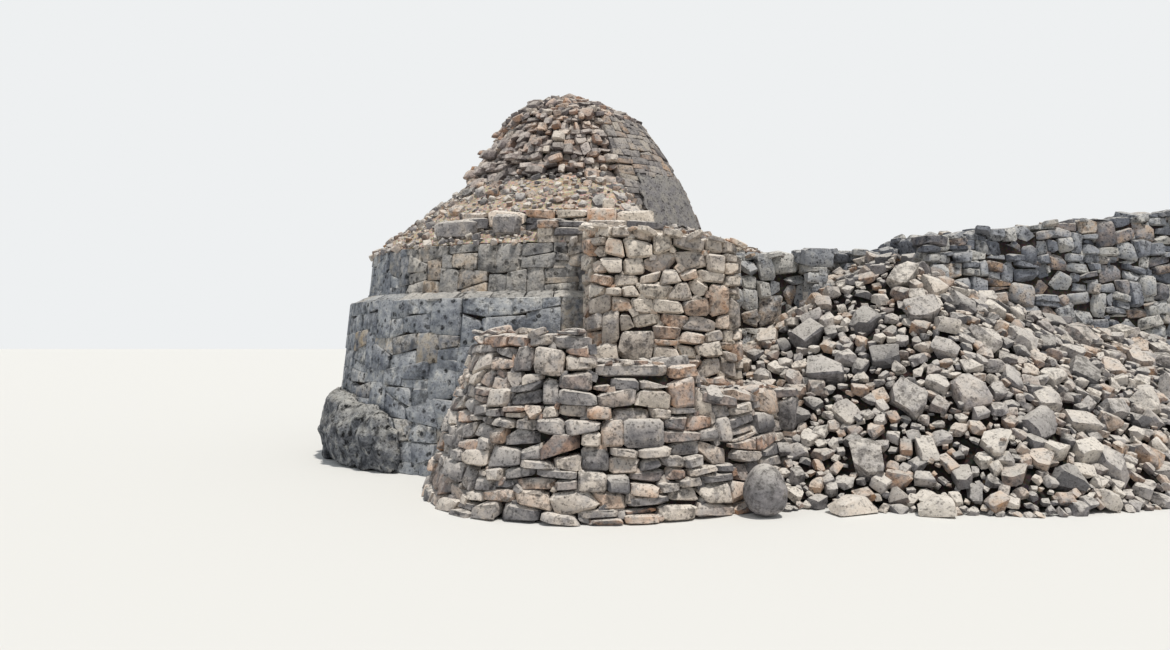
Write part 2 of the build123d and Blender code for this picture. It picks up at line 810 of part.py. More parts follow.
def heap_face_at(along):
    """The heap's face at any place along the wall."""
    for start, end in zip(HEAP_STATIONS, HEAP_STATIONS[1:]):
        if along <= end[0]:
            share = (along - start[0]) / (end[0] - start[0])
            return heap_face(*[low + (high - low) * share for low, high in zip(start[1:], end[1:])])


def heap_point(along, share):
    """A point on the heap's face, where share is 0 at the crest, 1 at the belly and 2 at the toe."""
    face = heap_face_at(along)
    upper, lower = face[:2] if share < 1 else face[1:]
    out, z = (a + (b - a) * (share % 1) for a, b in zip(upper, lower))
    return wall_plane(along).from_local_coords((out, z, 0))


def heap_share(along, down):
    """The share that is this far down the slope from the crest."""
    crest, belly, toe = heap_face_at(along)
    upper_run = hypot(belly[0] - crest[0], belly[1] - crest[1])
    lower_run = hypot(toe[0] - belly[0], toe[1] - belly[1])
    return down / upper_run if down < upper_run else 1 + (down - upper_run) / lower_run


def heap_bed(along, share):
    """The plane that lies on the heap's face: x along it, z out of it."""
    along_face = heap_point(along + STEP_ALONG, share) - heap_point(along - STEP_ALONG, share)
    down_face = heap_point(along, share + STEP_SHARE) - heap_point(along, share)
    return Plane(origin=heap_point(along, share), x_dir=along_face, z_dir=down_face.cross(along_face))


def heap_block(along, share, number):
    """A block with few faces, bedded in the heap and turned, tilted and sized by its number."""
    turn = HEAP_BLOCK_TURN * number
    size = 1 + HEAP_BLOCK_SPREAD * sin(radians(turn))
    bed = heap_bed(along, share).rotated((HEAP_BLOCK_TILT * cos(radians(turn)), 0, turn))
    outline = stone_outline(HEAP_BLOCK_L * size, HEAP_BLOCK_W * size, HEAP_BLOCK_SIDES + number % 2)
    with BuildPart() as block:
        with BuildSketch(bed.offset(-HEAP_BLOCK_SINK)):
            with BuildLine():
                Polyline(*outline, close=True)
            make_face()
        extrude(amount=HEAP_BLOCK_SINK + HEAP_BLOCK_PROUD * size, taper=HEAP_BLOCK_TAPER)
    return block.part


def heap_blocks():
    """All the blocks, column by column along the heap, with every other column set half a gap lower."""
    blocks = []
    for column in range(round((HEAP_BLOCK_END - HEAP_BLOCK_START) / HEAP_BLOCK_GAP) + 1):
        along = HEAP_BLOCK_START + column * HEAP_BLOCK_GAP
        down = HEAP_BLOCK_DOWN + HEAP_BLOCK_GAP / 2 * (column % 2)
        while (share := heap_share(along, down)) < 2 and heap_point(along, share).Z > HEAP_BLOCK_LOWEST_Z:
            blocks.append(heap_block(along, share, len(blocks)))
            down += HEAP_BLOCK_GAP
    return blocks


with BuildPart() as whole_heap:
    for along, height, reach in HEAP_STATIONS:
        with BuildSketch(wall_plane(along)):
            with BuildLine():
                Polyline((-HEAP_BACK, 0), (-HEAP_BACK, height), *heap_face(height, reach), close=True)
            make_face()
    loft(ruled=True)
with BuildPart() as rubble_heap:
    add(flat_faced(whole_heap.part))
    add(heap_blocks())
    add(
        [
            drum_outside,
            buttress.part,
            terrace_wall_near.part,
            terrace_wall_breach.part,
            terrace_wall_far.part,
            front_fill.part,
            *front_walls,
            boulders.part,
        ],
        mode=Mode.SUBTRACT,
    )
keep("rubble_heap", rubble_heap)

# Rock bench: a weathered outcrop that the drum's left side stands against

with BuildPart() as whole_bench:
    inner_r = LOWER_FOOT_R - BENCH_LAP
    for azimuth, beyond, height in BENCH_STATIONS:
        reach = LOWER_FOOT_R + beyond
        with BuildSketch(radial_plane(azimuth)):
            with BuildLine():
                Polyline(
                    (inner_r, 0),
                    (reach - BENCH_BULGE, 0),
                    (reach, height * BENCH_NOSE_SHARE),
                    (reach - BENCH_BROW_BACK, height * BENCH_BROW_SHARE),
                    (reach - BENCH_TOP_BACK, height),
                    (inner_r, height),
                    close=True,
                )
            make_face()
    loft(ruled=True)
with BuildPart() as rock_bench:
    add(flat_faced(whole_bench.part))
    add(drum_outside, mode=Mode.SUBTRACT)
keep("rock_bench", rock_bench)
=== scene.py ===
# %% [markdown]
# # A ruined trullo, stone by stone
# The frame holds the true sizes: a drum with a corbelled room, a broken cone, a buttress, a curved
# front wall and a long terrace wall with its rubble. Here each of them gets its loose stones. They
# could be painted on as a bump, but dry stone is judged by its ragged tops and open joints, so they
# are laid one by one as real shapes.

import math

import bpy
import numpy as np
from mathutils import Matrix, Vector


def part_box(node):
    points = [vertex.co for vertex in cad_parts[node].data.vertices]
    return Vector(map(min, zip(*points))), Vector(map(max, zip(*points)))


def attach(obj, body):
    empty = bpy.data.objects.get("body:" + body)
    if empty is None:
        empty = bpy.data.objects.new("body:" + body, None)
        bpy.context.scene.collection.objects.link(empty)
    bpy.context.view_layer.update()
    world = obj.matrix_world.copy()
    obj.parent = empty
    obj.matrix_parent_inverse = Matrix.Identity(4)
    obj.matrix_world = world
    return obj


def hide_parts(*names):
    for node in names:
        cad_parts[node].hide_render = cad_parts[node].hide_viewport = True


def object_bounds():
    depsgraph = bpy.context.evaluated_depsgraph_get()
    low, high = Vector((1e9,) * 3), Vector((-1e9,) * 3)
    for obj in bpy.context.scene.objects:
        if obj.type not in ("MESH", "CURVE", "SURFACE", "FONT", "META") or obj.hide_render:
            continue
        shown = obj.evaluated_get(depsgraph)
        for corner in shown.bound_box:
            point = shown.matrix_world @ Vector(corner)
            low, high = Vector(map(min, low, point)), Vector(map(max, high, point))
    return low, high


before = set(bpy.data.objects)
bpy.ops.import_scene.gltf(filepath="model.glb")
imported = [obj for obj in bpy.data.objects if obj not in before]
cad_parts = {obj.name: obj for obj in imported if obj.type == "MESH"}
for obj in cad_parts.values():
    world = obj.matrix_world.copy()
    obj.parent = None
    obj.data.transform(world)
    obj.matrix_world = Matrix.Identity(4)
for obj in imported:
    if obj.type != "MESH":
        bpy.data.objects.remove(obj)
CAD_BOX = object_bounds()
print("frame:", len(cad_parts), "nodes, box", CAD_BOX)

# %% [markdown]
# ## Sizes
# Metres, in the frame's own directions. Azimuths turn from +X towards +Y about the drum's axis, so
# 270 degrees looks at the camera and 90 degrees is the doorway's side.

# %% Sizes of the drum and the cone
AXIS = np.array([-2.46, 0.98])
LOWER_FOOT_R, LOWER_TOP_R, LEDGE_Z = 3.30, 3.07, 1.95
UPPER_FOOT_R, UPPER_TOP_R, TERRACE_Z = 2.85, 2.78, 2.57
CHAMBER_R, SPRING_R, SPRING_Z = 1.55, 1.50, 1.73
DOME_COURSES, COURSE_T, DOME_SWELL = 11, 0.22, 1.6
DOOR_HALF, DOOR_H, JAMB_W = 0.40, 1.50, 0.33
CONE_FOOT_R, CONE_TOP_R, CONE_BELLY, CROWN_Z = 1.93, 1.02, 0.145, 4.45
LOW_BANK_Z, HIGH_BANK_Z = 2.90, 3.56


def cone_radius(z):
    """Outer radius of the cone at a height."""
    share = (z - TERRACE_Z) / (CROWN_Z - TERRACE_Z)
    return CONE_FOOT_R + (CONE_TOP_R - CONE_FOOT_R) * share + 4 * CONE_BELLY * share * (1 - share)


def from_axis(radius, azimuth):
    """Plan points at a radius and an azimuth in degrees from the drum's axis."""
    turn = np.radians(azimuth)
    return np.stack([AXIS[0] + radius * np.cos(turn), AXIS[1] + radius * np.sin(turn)], axis=-1)


radii = [round(cone_radius(z), 2) for z in (TERRACE_Z, (TERRACE_Z + CROWN_Z) / 2)]
print("cone radius at the terrace and halfway up:", radii)

# %% [markdown]
# ## One stone, modelled from a cube
# Field limestone breaks into rough boxes with worn edges and a few fresh faces. A cube is bevelled
# for the wear, and planes cut off corners for the breaks. Its outer face looks along +Y. A sphere
# with noise would look like a potato, so the cube is the better start. Its points are then read
# into arrays, since copying thousands of objects would be slow.

# %% Read a shape and mirror it
def deselect():
    """Leaves nothing selected, the frame's nodes included."""
    bpy.ops.object.select_all(action="DESELECT")


def read_shape(obj):
    """Points, face corners and face sizes of a mesh object."""
    mesh = obj.data
    points = np.empty(len(mesh.vertices) * 3)
    mesh.vertices.foreach_get("co", points)
    corners = np.empty(len(mesh.loops), dtype=int)
    mesh.loops.foreach_get("vertex_index", corners)
    sides = np.empty(len(mesh.polygons), dtype=int)
    mesh.polygons.foreach_get("loop_total", sides)
    return points.reshape(-1, 3), corners, sides


def flipped(corners, sides):
    """The same faces wound the other way round."""
    return np.concatenate([run[::-1] for run in np.split(corners, np.cumsum(sides)[:-1])])


def four_ways(shape):
    """A shape as it is, and mirrored left to right, top to bottom and both."""
    points, corners, sides = shape
    back = flipped(corners, sides)
    return [
        (points * (1, 1, 1), corners, sides),
        (points * (-1, 1, 1), back, sides),
        (points * (1, 1, -1), back, sides),
        (points * (-1, 1, -1), corners, sides),
    ]


deselect()
print("objects selected:", len(bpy.context.selected_objects))

# %% [markdown]
# A break could be sculpted, but a plane that cuts the cube gives the same flat face in one step.
# Most breaks look outwards in a wall, where the waller turned the stone's best face.

# %% Model one stone
def model_stone(seed, wear, breaks, depth_of_break, uneven, outwards=0.6, rounding=0):
    """One loose stone in a cube of side 2: worn edges and a few flat breaks, most of them outwards."""
    rng = np.random.default_rng(seed)
    deselect()
    bpy.ops.mesh.primitive_cube_add(size=2)
    stone = bpy.context.object
    bpy.ops.object.mode_set(mode="EDIT")
    bpy.ops.mesh.select_all(action="SELECT")
    if wear:
        bpy.ops.mesh.bevel(offset=wear, segments=1, affect="EDGES")
    for _ in range(breaks):
        towards = rng.normal(size=3)
        if outwards:
            towards[1] = abs(towards[1]) + outwards
        towards /= np.linalg.norm(towards)
        reach = np.abs(towards).sum() * rng.uniform(*depth_of_break)
        bpy.ops.mesh.select_all(action="SELECT")
        bpy.ops.mesh.bisect(
            plane_co=tuple(towards * reach), plane_no=tuple(towards), use_fill=True, clear_outer=True
        )
    bpy.ops.mesh.select_all(action="SELECT")
    bpy.ops.transform.vertex_random(offset=uneven, seed=seed)
    bpy.ops.mesh.remove_doubles(threshold=0.02)
    bpy.ops.mesh.normals_make_consistent(inside=False)
    bpy.ops.object.mode_set(mode="OBJECT")
    if rounding:
        smooth = stone.modifiers.new("rounding", "SUBSURF")
        smooth.levels = rounding
        bpy.ops.object.modifier_apply(modifier=smooth.name)
    points, corners, sides = read_shape(stone)
    bpy.data.objects.remove(stone)
    return four_ways((points / np.abs(points).max(axis=0), corners, sides))


trial_shape = model_stone(seed=1, wear=0.24, breaks=3, depth_of_break=(0.72, 0.84), uneven=0.07)[0]
print("a trial stone has", len(trial_shape[2]), "faces")

# %% [markdown]
# Seven families are modelled, and each shape is also mirrored three ways. One shape for all would
# repeat before the eye. Fitted and dressed stones have sharper edges, and fallen ones more breaks.
# Each shape has only a few dozen faces, because thousands are laid. Only the boulder has more, since
# it is rounded and laid once.

# %% The stone shapes
# First seed and number of shapes, then wear, breaks, their depth, unevenness, outwards and rounding
FAMILIES = {
    "block": (10, 8, 0.24, 3, (0.72, 0.84), 0.07, 0.6, 0),
    "slab": (30, 8, 0.30, 3, (0.72, 0.86), 0.08, 0.6, 0),
    "fitted": (50, 6, 0.12, 2, (0.80, 0.92), 0.045, 0.6, 0),
    "rubble": (70, 8, 0.16, 7, (0.52, 0.76), 0.10, 0, 0),
    "chip": (110, 8, 0, 6, (0.52, 0.68), 0.12, 0, 0),
    "dressed": (90, 3, 0.07, 1, (0.88, 0.94), 0.015, 0.6, 0),
    "boulder": (130, 1, 0.5, 3, (0.7, 0.8), 0.08, 0, 2),
}
SHAPES = {}
for family, (seed, number, *form) in FAMILIES.items():
    shapes = [shape for k in range(number) for shape in model_stone(seed + k, *form)]
    SHAPES[family] = shapes
    print(family, len(shapes), "shapes,", round(np.mean([len(s[2]) for s in shapes])), "faces each")

# %% [markdown]
# ## Laying a face of dry stone
# A waller brings the wall up in rough courses that rise and fall, sets a tall stone through two of
# them here and there, and makes up a course with two thin slabs where no stone fits. This code does
# the same on an unrolled face. Even courses would be easier, but they look like brickwork.

# %% Courses
STEP = 0.03


def waver(rng, places, wavelength):
    """A smooth random line between about -1 and 1."""
    total = np.zeros(len(places))
    for octave in range(3):
        wave = wavelength / 1.7**octave * rng.uniform(0.8, 1.25)
        total += np.sin(places / wave * 2 * math.pi + rng.uniform(0, 7)) * 0.6**octave
    return total / 1.6


def course_lines(rng, places, limit, heights, start_z, wander):
    """The bed lines of all courses, level on the whole. The last one is the face's own top."""
    total = limit.max() - start_z
    rises = [rng.uniform(*heights)]
    while sum(rises) < total - heights[0] / 2:
        rises.append(rng.uniform(*heights))
    rises = np.array(rises) * total / sum(rises)
    lines = [np.full(len(places), float(start_z))]
    for level, rise in zip(start_z + np.cumsum(rises)[:-1], rises):
        line = level + wander * rise * waver(rng, places, wavelength=1.3)
        line = np.maximum(line, lines[-1] + 0.4 * rise)
        lines.append(np.minimum(line, limit))
    return lines + [limit]


def free_runs(taken, length):
    """The runs of a course that no tall stone from below has taken."""
    runs, start = [], 0.0
    for low, high in sorted(taken):
        if low > start:
            runs.append((start, low))
        start = max(start, high)
    if start < length:
        runs.append((start, length))
    return runs


trial_lines = course_lines(
    np.random.default_rng(1), np.linspace(0, 3, 100), np.full(100, 1.5), (0.1, 0.2), 0.0, 0.3
)
print("a trial face 1.5 m high has", len(trial_lines) - 1, "courses")

# %% [markdown]
# Joints are the gaps between the stones of a course. Even joints would be easier, but stones come
# in all lengths, so each width is drawn at random, and no thin sliver is left at the end.

# %% Joints
def run_joints(rng, start, end, widths):
    """Places of the joints along a run of stones, both ends included, with no sliver at its end."""
    joints = [start]
    while end - joints[-1] > 1.4 * widths[0]:
        width = rng.uniform(*widths)
        if end - joints[-1] - width < 0.7 * widths[0]:
            break
        joints.append(joints[-1] + width)
    return joints + [end]


def two_slabs(rng, cell):
    """A cell cut in two, for one flat stone on the other."""
    share = rng.uniform(0.35, 0.65)
    on_left = tuple(np.array(cell[0]) * (1 - share) + np.array(cell[3]) * share)
    on_right = tuple(np.array(cell[1]) * (1 - share) + np.array(cell[2]) * share)
    return [(cell[0], cell[1], on_right, on_left), (on_left, on_right, cell[2], cell[3])]


print("trial joints:", np.round(run_joints(np.random.default_rng(1), 0, 2, (0.2, 0.45)), 2))

# %% [markdown]
# A whole face goes up course by course. Where a stone stands through two courses, the course above
# leaves that place out. A face could be cut from a random pattern of cells, but that gives crazy
# paving and no beds.

# %% A whole face
def lay_face(rng, length, top, widths, heights, start_z=0.0, wander=0.3, tall=0.12, thin=0.25, breaks=()):
    """Four-cornered cells of a dry-stone face, unrolled: along it and up. top(u) is its height, and
    breaks are the places where the top steps."""
    places = np.linspace(0, length, max(3, int(length / STEP)))
    limit = np.array([top(u) for u in places])
    lines = course_lines(rng, places, limit, heights, start_z, wander)

    def bed(k, u):
        """Height of a bed line at a place."""
        return float(np.interp(u, places, lines[min(k, len(lines) - 1)]))

    cells, taken = [], []
    for k in range(len(lines) - 1):
        taken += [(u, u) for u in breaks if abs(bed(k + 1, u + STEP) - bed(k + 1, u - STEP)) > STEP]
        runs, taken = free_runs(taken, length), []
        for start, end in runs:
            joints = run_joints(rng, start, end, widths)
            slants = rng.normal(size=len(joints)) * 0.15
            slants[[0, -1]] = 0
            uppers = []
            for count, (left, right) in enumerate(zip(joints, joints[1:])):
                low, middle, high = (bed(k + step, (left + right) / 2) for step in (0, 1, 2))
                stands = rng.random() < tall and 0.5 * (high - low) < right - left < 0.8 * widths[1]
                uppers.append(k + 2 if stands or high - middle < 0.45 * (middle - low) else k + 1)
                if middle - low < 0.03 or right - left < 0.03:
                    uppers[-1] = k
                elif uppers[-1] == k + 2:
                    taken.append((left, right))
                    slants[count : count + 2] = 0
            for count, upper in enumerate(uppers):
                if upper == k:
                    continue
                left, right = joints[count : count + 2]
                left_slant, right_slant = slants[count : count + 2]
                middle, inner = (left + right) / 2, min(STEP, (right - left) / 4)
                low, high, rise = left + inner, right - inner, bed(upper, middle) - bed(k, middle)
                left_shift = left_slant * (bed(k + 1, left) - bed(k, left))
                right_shift = right_slant * (bed(k + 1, right) - bed(k, right))
                us = (left + left_shift, right + right_shift, right - right_shift, left - left_shift)
                shift = rng.normal(size=2) * 0.05 * rise * (bed(upper, middle) < top(middle) - 0.01)
                vs = (bed(k, low), bed(k, high), bed(upper, high) + shift[0], bed(upper, low) + shift[1])
                cell = [(min(max(u, 0.0), length), v) for u, v in zip(us, vs)]
                if upper == k + 1 and rise > 1.5 * heights[0] and rng.random() < thin:
                    cells += two_slabs(rng, cell)
                else:
                    cells.append(tuple(cell))
    return cells


def lay_cap(rng, start, end, top, widths, thickness):
    """Cells of the flat stones that cap a face, each one level."""
    joints = [start]
    while end - joints[-1] > 1.5 * widths[0]:
        joints.append(min(joints[-1] + rng.uniform(*widths), end))
    joints[-1] = end
    cells = []
    for left, right in zip(joints, joints[1:]):
        high = top((left + right) / 2)
        low = high - rng.uniform(*thickness)
        cells.append(((left, low), (right, low), (right, high), (left, high)))
    return cells


trial = lay_face(np.random.default_rng(1), 3, lambda u: 1.5, widths=(0.2, 0.45), heights=(0.1, 0.2))
print("a trial face of 3 m by 1.5 m takes", len(trial), "stones")

# %% [markdown]
# Each cell then gets a stone that is stretched to its four corners and pushed a little in or out.
# The joint is what is left between them. A stone could be scaled to its cell, but then its sides
# would stay square where the cell leans. Every stone also carries three random numbers, so that the
# finish can vary its tone, warmth and lichen from stone to stone.

# %% Fit one stone
def fit_stone(rng, cell, place, family, joint, proud, depth, tilt):
    """A stone fitted to a cell: place(u, v, out) gives the point on or under the wall's face."""
    corners = np.array(cell)
    middle = corners.mean(axis=0)
    size = corners.max(axis=0) - corners.min(axis=0)
    turn = math.radians(rng.normal() * tilt) * min(1.0, size.min() / size.max() * 2)
    spin = np.array([[math.cos(turn), -math.sin(turn)], [math.sin(turn), math.cos(turn)]])
    inset = np.array([[1, 1], [-1, 1], [-1, -1], [1, -1]]) * np.minimum(rng.uniform(*joint) / 2, size * 0.2)
    corners = (corners + inset - middle) @ spin.T + middle
    shapes = SHAPES[family]
    points, faces, sides = shapes[rng.integers(len(shapes))]
    s, t = (points[:, 0] + 1) / 2, (points[:, 2] + 1) / 2
    flat = (
        np.outer((1 - s) * (1 - t), corners[0])
        + np.outer(s * (1 - t), corners[1])
        + np.outer(s * t, corners[2])
        + np.outer((1 - s) * t, corners[3])
    )
    out = rng.uniform(*proud) + (points[:, 1] - 1) / 2 * depth
    return place(flat[:, 0], flat[:, 1], out), faces, sides, rng.random(3)


def upright_face(u, v, out):
    """The place of a flat face that looks along +Y."""
    return np.stack([u, 0 * u + out, v], axis=-1)


trial_stone = fit_stone(
    np.random.default_rng(1), trial[0], upright_face, "block", joint=(0, 0), proud=(0, 0), depth=0.24, tilt=2
)
print("a trial stone measures", np.ptp(trial_stone[0], axis=0).round(2), "m")

# %% [markdown]
# Long cells take slabs and the others blocks. Some joints are wedged with a small stone, a pin, as a
# waller does. Deeper stones close the top of a wall, or one would look down behind its face.

# %% Dress a whole face
def dress_face(rng, cells, place, joint=(-0.012, 0.008), proud=(-0.02, 0.01), depth=0.24, tilt=2.0,
               tight=False, wild=0.0, pins=0.0, cap_z=None, cap_depth=0.34):
    """Stones for all the cells of a face, deeper where they reach its top, with pins in some joints."""
    stones = []
    for cell in cells:
        corners = np.array(cell)
        size = corners.max(axis=0) - corners.min(axis=0)
        family = "slab" if size[0] > 1.7 * size[1] else "block"
        if tight or rng.random() < wild:
            family = "fitted" if tight else "rubble"
        at_top = cap_z is not None and corners[2:, 1].max() > cap_z(corners[:, 0].mean()) - 0.03
        stones.append(fit_stone(rng, cell, place, family, joint, proud, cap_depth if at_top else depth, tilt))
        if rng.random() < pins:
            (u, v), half = corners[rng.integers(2)], rng.uniform(0.025, 0.05)
            v = max(v, half)
            pin = ((u - half, v - half), (u + half, v - half), (u + half, v + half), (u - half, v + half))
            back = min(proud[0], -0.02)
            stones.append(fit_stone(
                rng, pin, place, "chip", joint=(0, 0), proud=(back - 0.015, back + 0.02), depth=0.1,
                tilt=25,
            ))
    return stones


def middle_of(stone):
    """Middle of a stone."""
    return stone[0].mean(axis=0)


def azimuth_of(stone):
    """Azimuth of a stone's middle about the drum's axis, from 0 to 360."""
    x, y = middle_of(stone)[:2] - AXIS
    return math.degrees(math.atan2(y, x)) % 360


trial_stones = dress_face(np.random.default_rng(1), trial, upright_face, pins=0.3)
print("the trial face gets", len(trial_stones), "stones with its pins")

# %% [markdown]
# ## Fallen and scattered stones
# On the heap and the banks stones lie as they fell: flat side down, no two alike. Points are drawn
# on the node's own surface, kept apart by the stones' sizes, and each gets a turned stone that is
# half sunk. A physics drop of a thousand stones would take far longer and look the same.

# %% Scatter stones over a node's surface
def node_triangles(node):
    """Corner points of a CAD node's triangles."""
    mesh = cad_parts[node].data
    mesh.calc_loop_triangles()
    points = np.array([v.co for v in mesh.vertices])
    return points[np.array([t.vertices for t in mesh.loop_triangles])]


def bedded(rng, spot, normal, length, family, flat, sink, upright):
    """A turned stone of one length that lies on a surface, partly sunk in it."""
    up = normal * (1 - upright) + np.array([0, 0, upright]) + rng.normal(size=3) * 0.2
    up /= np.linalg.norm(up)
    side = np.cross(up, rng.normal(size=3))
    side /= np.linalg.norm(side)
    half = np.array([1, rng.uniform(0.62, 0.9), flat * rng.uniform(0.7, 1.2)]) * length / 2
    shapes = SHAPES[family]
    points, faces, sides = shapes[rng.integers(len(shapes))]
    axes = np.stack([side, np.cross(up, side), up])
    centre = spot + normal * half[2] * (1 - 2 * sink)
    return (points * half) @ axes + centre, faces, sides, rng.random(3)


def scatter(rng, triangles, classes, keep=None, family="rubble", flat=0.6, sink=0.35, upright=0.5,
            spacing=0.8, taken=(), small=0.1):
    """Stones on a surface, the large ones first. classes holds (tries, least length, most length),
    taken holds (place, radius) of what lies there already, and stones under small are chips."""
    a, b, c = triangles[:, 0], triangles[:, 1], triangles[:, 2]
    normals = np.cross(b - a, c - a)
    areas = np.linalg.norm(normals, axis=1)
    normals /= np.maximum(areas, 1e-12)[:, None]
    lengths = np.concatenate([rng.uniform(low, high, count) for count, low, high in classes])
    chosen = rng.choice(len(triangles), len(lengths), p=areas / areas.sum())
    u, v = rng.random(len(lengths)), rng.random(len(lengths))
    over = u + v > 1
    u[over], v[over] = 1 - u[over], 1 - v[over]
    spots = a[chosen] + (b - a)[chosen] * u[:, None] + (c - a)[chosen] * v[:, None]
    placed = np.empty((len(lengths) + len(taken), 3))
    reach = np.empty(len(placed))
    for count, (spot, radius) in enumerate(taken):
        placed[count], reach[count] = spot, radius
    stones, count = [], len(taken)
    for spot, normal, length in zip(spots, normals[chosen], lengths):
        if keep is not None and not keep(spot, normal):
            continue
        distances = np.linalg.norm(placed[:count] - spot, axis=1)
        if (distances < spacing * (reach[:count] + length / 2)).any():
            continue
        placed[count], reach[count] = spot, length / 2
        count += 1
        shape = "chip" if length < small else family
        stones.append(bedded(rng, spot, normal, length, shape, flat, sink, upright))
    return stones


print("the heap's surface has", len(node_triangles("rubble_heap")), "triangles to scatter stones on")

# %% [markdown]
# ## Dark earth and painted shade behind the joints
# Between real stones one looks into shade and packed earth. Each node's own solid is copied, drawn in by a
# few centimetres and joined to its stones, so that no joint shows daylight. Its earth is painted nearly
# black, as painted shade in the joints.

# %% The imported heart of a wall
MOST_DRAWN, PIT_W = 1.8, 0.2


def heart(node, inset=0.08, rough=0.0, voxel=0.0, lump=0.25, pits=0.0):
    """A copy of a CAD node's shape, drawn in by an inset, rounded and made uneven."""
    deselect()
    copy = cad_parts[node].copy()
    copy.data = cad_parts[node].data.copy()
    copy.hide_render = copy.hide_viewport = False
    bpy.context.collection.objects.link(copy)
    copy.parent = None
    copy.matrix_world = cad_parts[node].matrix_world
    bpy.context.view_layer.objects.active = copy
    copy.select_set(True)
    bpy.ops.object.mode_set(mode="EDIT")
    bpy.ops.mesh.select_all(action="SELECT")
    bpy.ops.mesh.remove_doubles(threshold=0.0005)
    bpy.ops.object.mode_set(mode="OBJECT")
    start = read_shape(copy)[0]
    if inset:
        bpy.ops.object.mode_set(mode="EDIT")
        bpy.ops.transform.shrink_fatten(value=-inset, use_even_offset=True)
        bpy.ops.object.mode_set(mode="OBJECT")
        move = read_shape(copy)[0] - start
        far = np.maximum(1, np.linalg.norm(move, axis=1) / (MOST_DRAWN * inset))
        copy.data.vertices.foreach_set("co", (start + move / far[:, None]).ravel())
    if voxel:
        remesh = copy.modifiers.new("even", "REMESH")
        remesh.mode = "VOXEL"
        remesh.voxel_size = voxel
        bpy.ops.object.modifier_apply(modifier=remesh.name)
    for kind, width, strength in (("CLOUDS", lump, rough), ("VORONOI", PIT_W, pits)):
        if strength:
            texture = bpy.data.textures.new("unevenness", kind)
            texture.noise_scale = width
            uneven = copy.modifiers.new("unevenness", "DISPLACE")
            uneven.texture = texture
            uneven.texture_coords = "LOCAL"
            uneven.strength = strength
            uneven.mid_level = 0.6
            bpy.ops.object.modifier_apply(modifier=uneven.name)
    shape = read_shape(copy)
    bpy.data.objects.remove(copy)
    return shape


print("the crown's heart has", len(heart("crown", inset=0.05)[2]), "faces")

# %% [markdown]
# A node's stones could stay thousands of objects, but that is slow. They are joined with their
# heart in one mesh that keeps each stone's random numbers, and it takes the node's place.

# %% Join stones and their heart in one piece
BODY = "root"
LOW, HIGH = (np.array(corner) for corner in CAD_BOX)


def make_piece(node, slot, stones, hearts=(), earth=False, sharp=50, shade=(0.0, 1.0), finish=None):
    """One mesh of stones and packed hearts that stands for a CAD node. shade bounds the stones' tone, so that
    a whole piece can be painted lighter or darker, and earth gives the heart the banks' pale earth."""
    low, high = shade
    parts = []
    for points, faces, sides, (tone, warmth, age) in stones:
        parts.append((points, faces, sides, np.array([low + (high - low) * tone, warmth, age]), 0))
    parts += [(points, faces, sides, np.full(3, 0.5), 1) for points, faces, sides in hearts]
    starts = np.cumsum([0] + [len(part[0]) for part in parts[:-1]])
    points = np.clip(np.concatenate([part[0] for part in parts]), LOW, HIGH)
    faces = np.concatenate([part[1] + start for part, start in zip(parts, starts)])
    sides = np.concatenate([part[2] for part in parts])
    tones = np.concatenate([np.tile(part[3], (len(part[0]), 1)) for part in parts])
    which = np.concatenate([np.full(len(part[2]), part[4]) for part in parts])
    mesh = bpy.data.meshes.new(node + "_stones")
    mesh.vertices.add(len(points))
    mesh.vertices.foreach_set("co", points.ravel())
    mesh.loops.add(len(faces))
    mesh.loops.foreach_set("vertex_index", faces)
    mesh.polygons.add(len(sides))
    mesh.polygons.foreach_set("loop_start", np.concatenate([[0], np.cumsum(sides)[:-1]]))
    mesh.polygons.foreach_set("material_index", which)
    mesh.update(calc_edges=True)
    colours = mesh.attributes.new("stone", "FLOAT_COLOR", "POINT")
    colours.data.foreach_set("color", np.column_stack([tones, np.ones(len(points))]).ravel())
    mesh.validate()
    piece = bpy.data.objects.new(node + "_stones", mesh)
    bpy.context.collection.objects.link(piece)
    mesh.materials.append(MATERIALS[finish or slot])
    mesh.materials.append(MATERIALS["bank_earth" if earth else "packed_earth_and_painted_shade"])
    deselect()
    bpy.context.view_layer.objects.active = piece
    piece.select_set(True)
    bpy.ops.object.shade_smooth_by_angle(angle=math.radians(sharp))
    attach(piece, BODY)
    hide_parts(node)
    print(node, len(stones), "stones,", int((sides - 2).sum()), "triangles")


print("pieces ride on", BODY, "and stay between", LOW.round(2), "and", HIGH.round(2))

# %% [markdown]
# ## Finishes
# All of it is the same hard limestone, weathered in different ways. What looks up is painted paler towards
# cream, as a sunlit highlight with some of the sun's bleaching; shade and rain leave grey with black lichen,
# and fresh breaks show orange. Pictures of stone would repeat and show seams on thousands of turned stones,
# so one recipe makes every stone finish, from its own colours and amounts. Earth has a plainer recipe: nearly
# black where it is packed in joints, which paints the shade there, and pale where the banks have dried.

# %% Nodes and colours
def linear(colour):
    """A linear colour from an sRGB hex value."""
    channels = [int(colour[k : k + 2], 16) / 255 for k in (1, 3, 5)]
    return tuple(c / 12.92 if c <= 0.04045 else ((c + 0.055) / 1.055) ** 2.4 for c in channels) + (1,)


def add_node(tree, kind, inputs=None, stops=(), **settings):
    """A node with its settings, the stops of its ramp, and its values and links by socket."""
    node = tree.nodes.new(kind)
    for name, value in settings.items():
        setattr(node, name, value)
    for count, (position, colour) in enumerate(stops):
        if count >= len(node.color_ramp.elements):
            node.color_ramp.elements.new(position)
        node.color_ramp.elements[count].position = position
        node.color_ramp.elements[count].color = colour
    for socket, value in (inputs or {}).items():
        if isinstance(value, bpy.types.NodeSocket):
            tree.links.new(value, node.inputs[socket])
        else:
            node.inputs[socket].default_value = value
    return node


def per_metre(millimetres):
    """A pattern's scale from the size of its marks."""
    return 1000 / millimetres


print("marks of 110 mm need scale", round(per_metre(110), 1))
print("mid grey is", round(linear("#808080")[0], 3), "in linear light")

